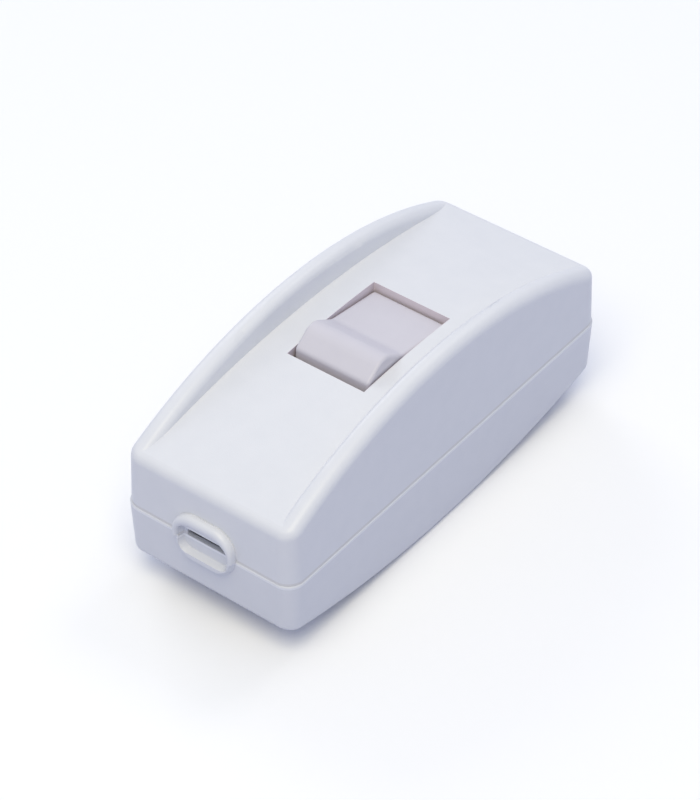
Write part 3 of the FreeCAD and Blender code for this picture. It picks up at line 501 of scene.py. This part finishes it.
# Painted highlight: a lighter band along the lower shell's rim, under the seam, where its edge
# would catch the light
RIM_PAINTED_HIGHLIGHT = Zone(srgb(239, 240, 243), middle_z=10.88 * MM, half_z=0.15 * MM)
UPPER_WHITE = replace(HOUSING_WHITE, name="upper_white", zones=(OPENING_PAINTED_SHADE, SEAM_PAINTED_SHADOW))
LOWER_WHITE = replace(HOUSING_WHITE, name="lower_white", zones=(RIM_PAINTED_HIGHLIGHT, RIM_PAINTED_SHADOW))
ROCKER_WHITE = MouldedPlastic("rocker_white", srgb(211, 208, 216), srgb(203, 200, 209),
                              roughness=0.42, grain=Grain.SOFT, relief=0.000004)
PIN_BLACK = MouldedPlastic("pin_black", srgb(52, 52, 56), srgb(40, 40, 44), roughness=0.35)
BRASS = Metal("brass", srgb(224, 196, 130), srgb(182, 148, 92))
SILVER = Metal("contact_silver", srgb(226, 226, 222), srgb(170, 166, 158), age=0.3)
ZINC = Metal("zinc_plate", srgb(196, 198, 196), srgb(160, 156, 140), age=0.5, roughness=0.3)
SPRING = Metal("spring_steel", srgb(150, 152, 156), srgb(96, 92, 88), age=0.3, roughness=0.2)


class Paints:
    """Builds each finish's material once and puts it on pieces."""

    def __init__(self) -> None:
        """Start with no materials."""
        self._kit = ShaderKit()
        self._built: dict[str, bpy.types.Material] = {}

    def put_on(self, piece: bpy.types.Object, finish: MouldedPlastic | Metal) -> None:
        """Give a piece one finish and no other.

        Args:
            piece: The piece.
            finish: Its finish.
        """
        if finish.name not in self._built:
            self._built[finish.name] = finish.build(self._kit)
        piece.data.materials.clear()
        piece.data.materials.append(self._built[finish.name])


# Modelling helpers


def deselect() -> None:
    """Leave nothing selected, so that the next operator starts clean."""
    bpy.ops.object.select_all(action="DESELECT")


def take(piece: bpy.types.Object) -> None:
    """Make one object the whole selection and the active one.

    Args:
        piece: The object.
    """
    deselect()
    piece.select_set(True)
    bpy.context.view_layer.objects.active = piece


def remove(piece: bpy.types.Object) -> None:
    """Delete one object."""
    take(piece)
    bpy.ops.object.delete()


def settle(piece: bpy.types.Object) -> None:
    """Put an object's place, turn and size into its mesh."""
    take(piece)
    bpy.ops.object.transform_apply(location=True, rotation=True, scale=True)


def apply_modifier(piece: bpy.types.Object, kind: str, **settings: object) -> None:
    """Add one modifier with its settings and apply it.

    Args:
        piece: The object that it works on.
        kind: The modifier's type.
        settings: Its properties by name.
    """
    take(piece)
    modifier = piece.modifiers.new(kind.lower(), kind)
    for label, value in settings.items():
        setattr(modifier, label, value)
    bpy.ops.object.modifier_apply(modifier=modifier.name)


def cut_away(piece: bpy.types.Object, cutter: bpy.types.Object) -> None:
    """Cut one object's volume out of another and delete the cutter."""
    apply_modifier(piece, "BOOLEAN", operation="DIFFERENCE", solver="EXACT", object=cutter)
    remove(cutter)


def join(name: str, pieces: list[bpy.types.Object]) -> bpy.types.Object:
    """Join several objects into one.

    Args:
        name: The joined object's name.
        pieces: The objects; the first one takes the others in.

    Returns:
        The joined object.
    """
    deselect()
    for piece in pieces:
        piece.select_set(True)
    bpy.context.view_layer.objects.active = pieces[0]
    bpy.ops.object.join()
    pieces[0].name = name
    return pieces[0]


def face_outwards(piece: bpy.types.Object, weld: float = 0.0000005) -> None:
    """Weld a mesh, close its holes and turn its faces outwards.

    Args:
        piece: The object to clean.
        weld: Vertices nearer than this become one, in metres.
    """
    take(piece)
    bpy.ops.object.mode_set(mode="EDIT")
    bpy.ops.mesh.select_all(action="SELECT")
    bpy.ops.mesh.remove_doubles(threshold=weld)
    bpy.ops.mesh.fill_holes(sides=0)
    bpy.ops.mesh.select_all(action="SELECT")
    bpy.ops.mesh.normals_make_consistent(inside=False)
    bpy.ops.object.mode_set(mode="OBJECT")


def turned(name: str, rings: list[tuple[float, float]], sides: int = 48) -> bpy.types.Object:
    """Raise a round solid about Z, ring by ring, in edit mode.

    Args:
        name: The new object's name.
        rings: Radius and height of each ring from the bottom up, in metres.
        sides: Vertices in each ring.

    Returns:
        The new closed object.
    """
    radius, height = rings[0]
    deselect()
    bpy.ops.mesh.primitive_circle_add(vertices=sides, radius=radius, fill_type="NGON",
                                      location=(0, 0, height))
    piece = bpy.context.object
    settle(piece)
    piece.name = name
    bpy.ops.object.mode_set(mode="EDIT")
    bpy.ops.mesh.select_all(action="SELECT")
    for next_radius, next_height in rings[1:]:
        bpy.ops.mesh.extrude_region_move(
            TRANSFORM_OT_translate={"value": (0, 0, next_height - height)})
        share = next_radius / radius
        bpy.ops.transform.resize(value=(share, share, 1.0))
        radius, height = next_radius, next_height
    bpy.ops.object.mode_set(mode="OBJECT")
    face_outwards(piece)
    return piece


def smooth(piece: bpy.types.Object, angle: float = 35.0) -> None:
    """Shade smooth over every edge flatter than an angle in degrees."""
    take(piece)
    bpy.ops.object.shade_smooth_by_angle(angle=math.radians(angle))


# Fasteners


class Drive(Enum):
    """The recess in a screw's head."""

    SLOT = "slot"
    CROSS = "cross"


@dataclass(frozen=True)
class ScrewPattern:
    """What the screws of one kind share.

    Attributes:
        nodes: The solids that they stand for.
        head_height: Height of the head.
        radius: Outside radius of the thread.
        pitch: Rise of the thread in one turn.
        tip_length: Length of the cone at the end.
        tip_share: Radius at the very end, as a share of the outside radius.
        drive: The recess in the head.
        head_up: False where the head is underneath.
    """

    nodes: tuple[str, ...]
    head_height: float
    radius: float
    pitch: float
    tip_length: float
    tip_share: float
    drive: Drive
    head_up: bool = True


TERMINAL_SCREWS = ScrewPattern(
    ("line_terminal_screw", "load_terminal_screw", "near_neutral_screw", "far_neutral_screw"),
    head_height=1.4 * MM, radius=1.1 * MM, pitch=0.45 * MM, tip_length=0.35 * MM,
    tip_share=0.62, drive=Drive.SLOT)
CLAMP_SCREWS = ScrewPattern(
    ("near_right_clamp_screw", "near_left_clamp_screw",
     "far_right_clamp_screw", "far_left_clamp_screw"),
    head_height=1.5 * MM, radius=1.2 * MM, pitch=0.9 * MM, tip_length=1.5 * MM,
    tip_share=0.3, drive=Drive.SLOT)
CASE_SCREWS = ScrewPattern(
    ("near_case_screw", "far_case_screw"),
    head_height=1.6 * MM, radius=1.25 * MM, pitch=1.0 * MM, tip_length=1.6 * MM,
    tip_share=0.3, drive=Drive.CROSS, head_up=False)


@dataclass
class Screw:
    """A pan-head screw with a rolled thread, its head's underside at the origin.

    A share is of the head's height for the head and its recess, of the outside radius for
    the shank, and of the pitch for the thread, unless its line says otherwise.

    Attributes:
        pattern: Its kind.
        head_radius: Radius of the head.
        length: Length below the head.
        rim_share: Height of the head's straight rim.
        chamfer_share: Size of the bevel round the head's underside.
        dome_steps: Rings in the head's dome.
        dome_power: How full the dome is; 1 is a quarter of an ellipse.
        crown_share: Radius of the dome's top ring, as a share of the head's.
        recess_share: Depth of the recess.
        recess_width: Width of the recess.
        slot_reach: Length of a slot, as a share of the head's radius.
        cross_reach: Length of each arm of a cross, as a share of the head's radius.
        root_share: Radius under the thread.
        neck_share: Radius under the head.
        lap_share: How far the shank goes up into the head.
        point_share: Height of the rounding at the very end, as a share of the cone's length.
        shank_sides: Vertices round the shank.
        ridge_share: Depth of the ridge, as a share of the thread's.
        ridge_width: Width of the ridge at its foot.
        crest_share: Width of the ridge at its crest, as a share of its foot's.
        start_share: Where the thread starts, as a share of the cone's length.
        plain_share: Height under the head with no thread.
        thread_steps: Segments in each turn of the thread.
    """

    pattern: ScrewPattern
    head_radius: float
    length: float
    rim_share: float = 0.4
    chamfer_share: float = 0.06
    dome_steps: int = 8
    dome_power: float = 0.8
    crown_share: float = 0.02
    recess_share: float = 0.55
    recess_width: float = 0.7 * MM
    slot_reach: float = 2.4
    cross_reach: float = 1.25
    root_share: float = 0.78
    neck_share: float = 0.97
    lap_share: float = 0.1
    point_share: float = 0.15
    shank_sides: int = 32
    ridge_share: float = 1.3
    ridge_width: float = 0.8
    crest_share: float = 0.2
    start_share: float = 0.6
    plain_share: float = 1.2
    thread_steps: int = 24

    @property
    def root(self) -> float:
        """Radius under the thread, in metres."""
        return self.pattern.radius * self.root_share

    def head(self) -> bpy.types.Object:
        """Raise the head: a short straight rim under a shallow dome.

        Returns:
            The head, without its recess.
        """
        height = self.pattern.head_height
        rim = height * self.rim_share
        chamfer = height * self.chamfer_share
        rings = [(self.head_radius - chamfer, 0.0), (self.head_radius, chamfer),
                 (self.head_radius, rim)]
        for step in range(1, self.dome_steps):
            turn = math.radians(90 * step / self.dome_steps)
            rings.append((self.head_radius * math.cos(turn) ** self.dome_power,
                          rim + (height - rim) * math.sin(turn)))
        rings.append((self.head_radius * self.crown_share, height))
        return turned("head", rings)

    def add_recess(self, head: bpy.types.Object) -> None:
        """Cut the slot or the cross into the head.

        Args:
            head: The head to cut.
        """
        height = self.pattern.head_height
        slotted = self.pattern.drive is Drive.SLOT
        across = self.head_radius * (self.slot_reach if slotted else self.cross_reach)
        turns = (0.0,) if slotted else (0.0, 90.0)
        for turn in turns:
            deselect()
            bpy.ops.mesh.primitive_cube_add(size=1.0, location=(0, 0, height),
                                            rotation=(0, 0, math.radians(turn)))
            cutter = bpy.context.object
            cutter.scale = (across, self.recess_width, height * self.recess_share * 2)
            settle(cutter)
            cut_away(head, cutter)

    def shank(self) -> bpy.types.Object:
        """Raise the shank, from its point into the head.

        Returns:
            The shank.
        """
        kind = self.pattern
        tip = kind.radius * kind.tip_share
        neck = kind.radius * self.neck_share
        return turned("shank", [
            (tip / 2, -self.length),
            (tip, -self.length + kind.tip_length * self.point_share),
            (self.root, -self.length + kind.tip_length),
            (self.root, -kind.pitch),
            (neck, -kind.pitch / 2),
            (neck, kind.head_height * self.lap_share),
        ], sides=self.shank_sides)

    def section(self, depth: float, width: float) -> bpy.types.Object:
        """Draw the ridge's section, a low trapezium in the XZ plane.

        Args:
            depth: Its size along X.
            width: Its size along Z, at its foot.

        Returns:
            The closed edge loop, its middle at the origin and its size not yet applied.
        """
        deselect()
        bpy.ops.mesh.primitive_plane_add(size=1.0, rotation=(math.pi / 2, 0, 0))
        loop = bpy.context.object
        settle(loop)
        bpy.ops.object.mode_set(mode="EDIT")
        bpy.ops.mesh.select_mode(type="VERT")
        bpy.ops.mesh.select_all(action="DESELECT")
        bpy.ops.object.mode_set(mode="OBJECT")
        for vertex in loop.data.vertices:
            vertex.select = vertex.co.x > 0
        bpy.ops.object.mode_set(mode="EDIT")
        bpy.ops.transform.resize(value=(1.0, 1.0, self.crest_share))
        bpy.ops.mesh.select_all(action="SELECT")
        bpy.ops.mesh.delete(type="ONLY_FACE")
        bpy.ops.object.mode_set(mode="OBJECT")
        loop.scale = (depth, 1.0, width)
        return loop

    def thread(self) -> bpy.types.Object:
        """Wind the thread's ridge round the shank.

        Returns:
            The ridge, closed at both ends.
        """
        kind = self.pattern
        depth = (kind.radius - self.root) * self.ridge_share
        width = kind.pitch * self.ridge_width
        low = kind.tip_length * self.start_share - self.length
        turns = int((-low - kind.pitch * self.plain_share) / kind.pitch)
        ridge = self.section(depth, width)
        ridge.location = (kind.radius - depth / 2, 0.0, low + width / 2)
        settle(ridge)
        apply_modifier(ridge, "SCREW", axis="Z", angle=2 * math.pi, screw_offset=kind.pitch,
                       iterations=turns, steps=self.thread_steps,
                       render_steps=self.thread_steps, use_smooth_shade=True)
        ridge.name = "ridge"
        face_outwards(ridge)
        return ridge

    def build(self) -> bpy.types.Object:
        """Model the whole screw.

        Returns:
            The screw, head up.
        """
        head = self.head()
        self.add_recess(head)
        piece = join("screw_master", [head, self.shank(), self.thread()])
        smooth(piece)
        return piece


@dataclass
class Fasteners:
    """Every screw: one modelled for each kind, the others copied from it.

    Attributes:
        patterns: The kinds of screw.
        first_turn: How far round the first screw of a kind is driven, in degrees.
        turn_step: How much further the next one is.
    """

    patterns: tuple[ScrewPattern, ...] = (TERMINAL_SCREWS, CLAMP_SCREWS, CASE_SCREWS)
    first_turn: float = 20.0
    turn_step: float = 47.0

    def model(self, pattern: ScrewPattern) -> bpy.types.Object:
        """Model one kind of screw from the box of its first solid.

        Args:
            pattern: The kind of screw.

        Returns:
            The screw, head up, its head's underside at the origin.
        """
        low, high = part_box(pattern.nodes[0])
        return Screw(pattern=pattern, head_radius=(high[0] - low[0]) / 2,
                     length=high[2] - low[2] - pattern.head_height).build()

    def set_in(self, master: bpy.types.Object, pattern: ScrewPattern, node: str,
               turn: float) -> bpy.types.Object:
        """Copy the master to where one solid screw is.

        Args:
            master: The screw at the origin.
            pattern: Its kind.
            node: The solid that the copy stands for.
            turn: How far it was driven round, in degrees.

        Returns:
            The copy, with its own mesh.
        """
        low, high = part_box(node)
        take(master)
        bpy.ops.object.duplicate(linked=False)
        copy = bpy.context.object
        copy.name = f"{node}_threaded"
        seat = high[2] - pattern.head_height if pattern.head_up else low[2] + pattern.head_height
        flip = 0.0 if pattern.head_up else math.pi
        copy.rotation_euler = (flip, 0.0, math.radians(turn))
        copy.location = ((low[0] + high[0]) / 2, (low[1] + high[1]) / 2, seat)
        settle(copy)
        return copy

    def build(self, paints: Paints) -> None:
        """Model and set in every screw.

        Args:
            paints: The finishes.
        """
        for pattern in self.patterns:
            master = self.model(pattern)
            paints.put_on(master, ZINC)
            for index, node in enumerate(pattern.nodes):
                turn = self.first_turn + self.turn_step * index
                screw = self.set_in(master, pattern, node, turn)
                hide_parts(node)
                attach(screw, Body.HOUSING.value)
            remove(master)
            LOG.info("screws: %s", ", ".join(pattern.nodes))


# The spring and the port hoods


@dataclass
class CoilSpring:
    """The compression spring in the rocker's stem, its end turns closed.

    Attributes:
        node: The solid that it stands for.
        wire: Radius of the wire.
        coil_radius: Radius of the coil, to the middle of the wire.
        below_axle: How far its foot stands below the rocker's axle.
        above_axle: How far its top ends above the axle.
        open_turns: Turns between the two closed ones.
        sides: Vertices round the wire.
        steps: Segments in each turn.
        smooth_angle: Edges flatter than this look round, in degrees.
    """

    node: str = "plunger_spring"
    wire: float = 0.17 * MM
    coil_radius: float = 1.05 * MM
    below_axle: float = 3.0 * MM
    above_axle: float = 1.5 * MM
    open_turns: int = 4
    sides: int = 12
    steps: int = 40
    smooth_angle: float = 60.0

    def stretch(self, start: float, pitch: float, turns: int) -> bpy.types.Object:
        """Wind one stretch of the coil about Z.

        Args:
            start: Height of the wire's middle where it begins.
            pitch: Rise in each turn.
            turns: How many whole turns.

        Returns:
            The stretch, open at both ends.
        """
        deselect()
        bpy.ops.mesh.primitive_circle_add(vertices=self.sides, radius=self.wire,
                                          location=(self.coil_radius, 0, start),
                                          rotation=(math.pi / 2, 0, 0))
        coil = bpy.context.object
        settle(coil)
        apply_modifier(coil, "SCREW", axis="Z", angle=2 * math.pi, screw_offset=pitch,
                       iterations=turns, steps=self.steps, render_steps=self.steps)
        return coil

    def build(self, paints: Paints, axle: Vector, axis: Vector) -> None:
        """Model the spring and stand it on the plunger's shoulder.

        Args:
            paints: The finishes.
            axle: Where the spring's axis crosses the rocker's axle.
            axis: The way from the plunger to the rocker, of length one.
        """
        foot = axle - axis * self.below_axle
        length = self.below_axle + self.above_axle
        closed = 2 * self.wire
        pitch = (length - 2 * self.wire - 2 * closed) / self.open_turns
        spring = join("round_wire_spring", [
            self.stretch(self.wire, closed, 1),
            self.stretch(self.wire + closed, pitch, self.open_turns),
            self.stretch(length - self.wire - closed, closed, 1),
        ])
        face_outwards(spring)
        smooth(spring, self.smooth_angle)
        spring.rotation_euler = axis.to_track_quat("Z", "Y").to_euler()
        spring.location = foot
        settle(spring)
        paints.put_on(spring, SPRING)
        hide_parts(self.node)
        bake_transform(spring)
        LOG.info("spring: %d turns", self.open_turns + 2)


@dataclass
class PortHood:
    """The fat rounded lip of a cord port, over the solid's plain one.

    Attributes:
        half_width: Half of its width.
        above: Its height over the parting plane.
        below: How far its outline goes on under that plane.
        corner: Radius of the outline's corners.
        corner_steps: Segments in each of those corners.
        opening_share: Width and height of its opening, as shares of the outline's.
        depth: Thickness from back to front.
        front: How far its front stands from the middle of the switch.
        parting: Height of the parting plane.
        swell: How much larger the cage is than the rounded form in it.
        cutter: Side of the cube that takes the lower half away.
        rounding: How often the cage is divided.
        smooth_angle: Edges flatter than this look round, in degrees.
    """

    half_width: float = 4.4 * MM
    above: float = 3.85 * MM
    below: float = 3.3 * MM
    corner: float = 2.9 * MM
    corner_steps: int = 6
    opening_share: tuple[float, float] = (0.81, 0.56)
    depth: float = 1.4 * MM
    front: float = 30.95 * MM
    parting: float = 11.17 * MM
    swell: float = 1.06
    cutter: float = 40.0 * MM
    rounding: int = 3
    smooth_angle: float = 50.0

    def ring(self) -> bpy.types.Object:
        """Shape the ring round the whole port, flat in the XY plane.

        Returns:
            The rounded ring, its parting line along X through the origin.
        """
        deselect()
        bpy.ops.mesh.primitive_plane_add(size=2.0)
        ring = bpy.context.object
        ring.scale = (self.half_width, (self.above + self.below) / 2, 1.0)
        ring.location = (0.0, (self.above - self.below) / 2, 0.0)
        settle(ring)
        bpy.ops.object.mode_set(mode="EDIT")
        bpy.ops.mesh.select_all(action="SELECT")
        bpy.ops.mesh.bevel(offset=self.corner, segments=self.corner_steps, affect="VERTICES")
        bpy.ops.mesh.select_all(action="SELECT")
        bpy.ops.mesh.delete(type="ONLY_FACE")
        bpy.ops.mesh.select_all(action="SELECT")
        bpy.ops.mesh.extrude_edges_move()
        bpy.ops.transform.resize(value=(*self.opening_share, 1.0))
        bpy.ops.object.mode_set(mode="OBJECT")
        apply_modifier(ring, "SOLIDIFY", thickness=self.depth * self.swell, offset=0.0)
        face_outwards(ring)
        apply_modifier(ring, "SUBSURF", levels=self.rounding, render_levels=self.rounding)
        return ring

    def build(self, paints: Paints) -> None:
        """Stand a hood in each end of the upper shell.

        Args:
            paints: The finishes.
        """
        for side, turn in (("near", -90.0), ("far", 90.0)):
            hood = self.ring()
            hood.name = f"{side}_port_hood"
            deselect()
            bpy.ops.mesh.primitive_cube_add(size=self.cutter, location=(0, -self.cutter / 2, 0))
            below = bpy.context.object
            settle(below)
            cut_away(hood, below)
            hood.rotation_euler = (math.radians(90.0), 0.0, math.radians(turn))
            reach = self.front - self.depth / 2
            hood.location = (math.copysign(reach, turn), 0.0, self.parting)
            settle(hood)
            smooth(hood, self.smooth_angle)
            paints.put_on(hood, HOUSING_WHITE)
            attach(hood, Body.HOUSING.value)
        LOG.info("port hoods ready")


@dataclass
class PlainPieces:
    """The pieces whose solids already have the right shape.

    Attributes:
        finishes: The finish of each, by the name of its node.
    """

    finishes: dict[str, MouldedPlastic | Metal] = field(default_factory=lambda: {
        "upper_shell": UPPER_WHITE,
        "lower_shell": LOWER_WHITE,
        "rocker": ROCKER_WHITE,
        "plunger": PIN_BLACK,
        "contact_lever": BRASS,
        "moving_contact": SILVER,
        "fixed_contact": SILVER,
        "line_terminal": BRASS,
        "load_terminal": BRASS,
        "neutral_terminal": BRASS,
        "near_cord_clamp": HOUSING_WHITE,
        "far_cord_clamp": HOUSING_WHITE,
    })

    def dress(self, nodes: dict[str, bpy.types.Object], paints: Paints) -> None:
        """Give each node its finish.

        Args:
            nodes: The frame's nodes by name.
            paints: The finishes.
        """
        for name, finish in self.finishes.items():
            paints.put_on(nodes[name], finish)
            LOG.info("%s: %s", name, finish.name)


# The studio


@dataclass(frozen=True)
class Lamp:
    """A square soft lamp.

    Attributes:
        name: The lamp's name.
        place: Where it hangs, in metres.
        size: Length of its side, in metres.
        power: Its power, in watts.
        colour: Its colour.
    """

    name: str
    place: Triple
    size: float
    power: float
    colour: Triple

    def hang(self, target: Triple) -> None:
        """Hang the lamp and point it.

        Args:
            target: What it points at, in metres.
        """
        bpy.ops.object.light_add(type="AREA", location=self.place)
        lamp = bpy.context.object
        lamp.name = self.name
        lamp.data.size = self.size
        lamp.data.energy = self.power
        lamp.data.color = self.colour
        aim = Vector(target) - Vector(self.place)
        lamp.rotation_euler = aim.to_track_quat("-Z", "Y").to_euler()


LAMPS = (
    Lamp("overhead", place=(-0.3, -0.16, 0.69), size=0.5, power=3.15,
         colour=(1.0, 0.915, 0.63)),
    Lamp("far", place=(0.5, -0.04, 0.68), size=0.25, power=0.55, colour=(1.0, 0.97, 0.93)),
    Lamp("back", place=(0.3, 0.62, 0.42), size=0.35, power=0.8, colour=(1.0, 1.0, 1.0)),
)


@dataclass
class Studio:
    """The camera, the pale floor and the soft lamps.

    Attributes:
        azimuth: Where the camera stands round the object, in degrees.
        elevation: How high it stands, in degrees.
        distance: Camera to target, in metres.
        shift_right: Target's offset along the picture's width, in metres.
        shift_up: Target's offset along the picture's height, in metres.
        target_height: Height of the parting plane, in metres.
        lens: Focal length, in millimetres.
        film: Width of the film, in millimetres.
        near_limit: Nothing nearer to the camera than this shows, in metres.
        floor_size: Length of the floor's side, in metres.
        floor_roughness: The floor's roughness.
        floor_tint: The floor's colour where it only lights the switch.
        room_tint: The room's colour where it only lights the switch.
        lamps: The lamps.
        lamp_target: What they point at, in metres.
    """

    azimuth: float = -52.337
    elevation: float = 41.197
    distance: float = 0.36914
    shift_right: float = -0.002201
    shift_up: float = 0.000682
    target_height: float = 0.01115
    lens: float = 141.53
    film: float = 36.0
    near_limit: float = 0.01
    floor_size: float = 6.0
    floor_roughness: float = 0.8
    floor_tint: Colour = (0.43, 0.44, 0.56, 1.0)
    room_tint: Colour = (0.437, 0.492, 0.665, 1.0)
    lamps: tuple[Lamp, ...] = LAMPS
    lamp_target: Triple = (0.0, 0.0, 0.012)

    def add_camera(self) -> None:
        """Place the camera at the photograph's angle."""
        turn = math.radians(self.azimuth)
        rise = math.radians(self.elevation)
        back = Vector((math.sin(turn) * math.cos(rise), -math.cos(turn) * math.cos(rise),
                       math.sin(rise)))
        right = (-back).cross(Vector((0, 0, 1))).normalized()
        up = right.cross(-back)
        place = back * self.distance + right * self.shift_right + up * self.shift_up
        place.z += self.target_height
        bpy.ops.object.camera_add(location=place)
        camera = bpy.context.object
        camera.rotation_euler = (-back).to_track_quat("-Z", "Y").to_euler()
        camera.data.lens = self.lens
        camera.data.sensor_width = self.film
        camera.data.clip_start = self.near_limit
        bpy.context.scene.camera = camera

    def add_floor(self) -> None:
        """Lay a wide floor under the switch, white to the eye."""
        bpy.ops.mesh.primitive_plane_add(size=self.floor_size, location=(0, 0, 0))
        floor = bpy.context.object
        floor.name = "floor"
        material = bpy.data.materials.new("pale_floor")
        material.use_nodes = True
        tree = material.node_tree
        shader = tree.nodes["Principled BSDF"].inputs
        pale = add_mix(tree, add_seen_mask(tree), self.floor_tint, WHITE)
        feed(tree, shader["Base Color"], pale)
        shader["Roughness"].default_value = self.floor_roughness
        floor.data.materials.append(material)

    def add_world(self) -> None:
        """Fill the room with an even, cool light behind a white backdrop."""
        world = bpy.data.worlds.new("studio")
        bpy.context.scene.world = world
        world.use_nodes = True
        tree = world.node_tree
        backing = tree.nodes["Background"].inputs
        room = add_mix(tree, add_seen_mask(tree), self.room_tint, WHITE)
        feed(tree, backing["Color"], room)
        backing["Strength"].default_value = 1.0

    def build(self) -> None:
        """Set up the whole studio."""
        self.add_camera()
        self.add_floor()
        self.add_world()
        for lamp in self.lamps:
            lamp.hang(self.lamp_target)
        scene = bpy.context.scene
        scene.view_settings.view_transform = "Standard"
        LOG.info("studio ready")


def main() -> None:
    """Build the switch's looks and the studio round it."""
    logging.basicConfig(level=logging.INFO, format="%(name)s: %(message)s")
    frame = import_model()
    bpy.ops.object.select_all(action="DESELECT")
    paints = Paints()
    PlainPieces().dress(frame["nodes"], paints)
    Fasteners().build(paints)
    PortHood().build(paints)
    joints = {joint["name"]: joint for joint in frame["joints"]}
    CoilSpring().build(paints, Vector(joints["rocker_tilt"]["pos_m"]),
                       Vector(joints["plunger_slide"]["axis"]).normalized())
    Studio().build()


if __name__ == "__main__":
    main()
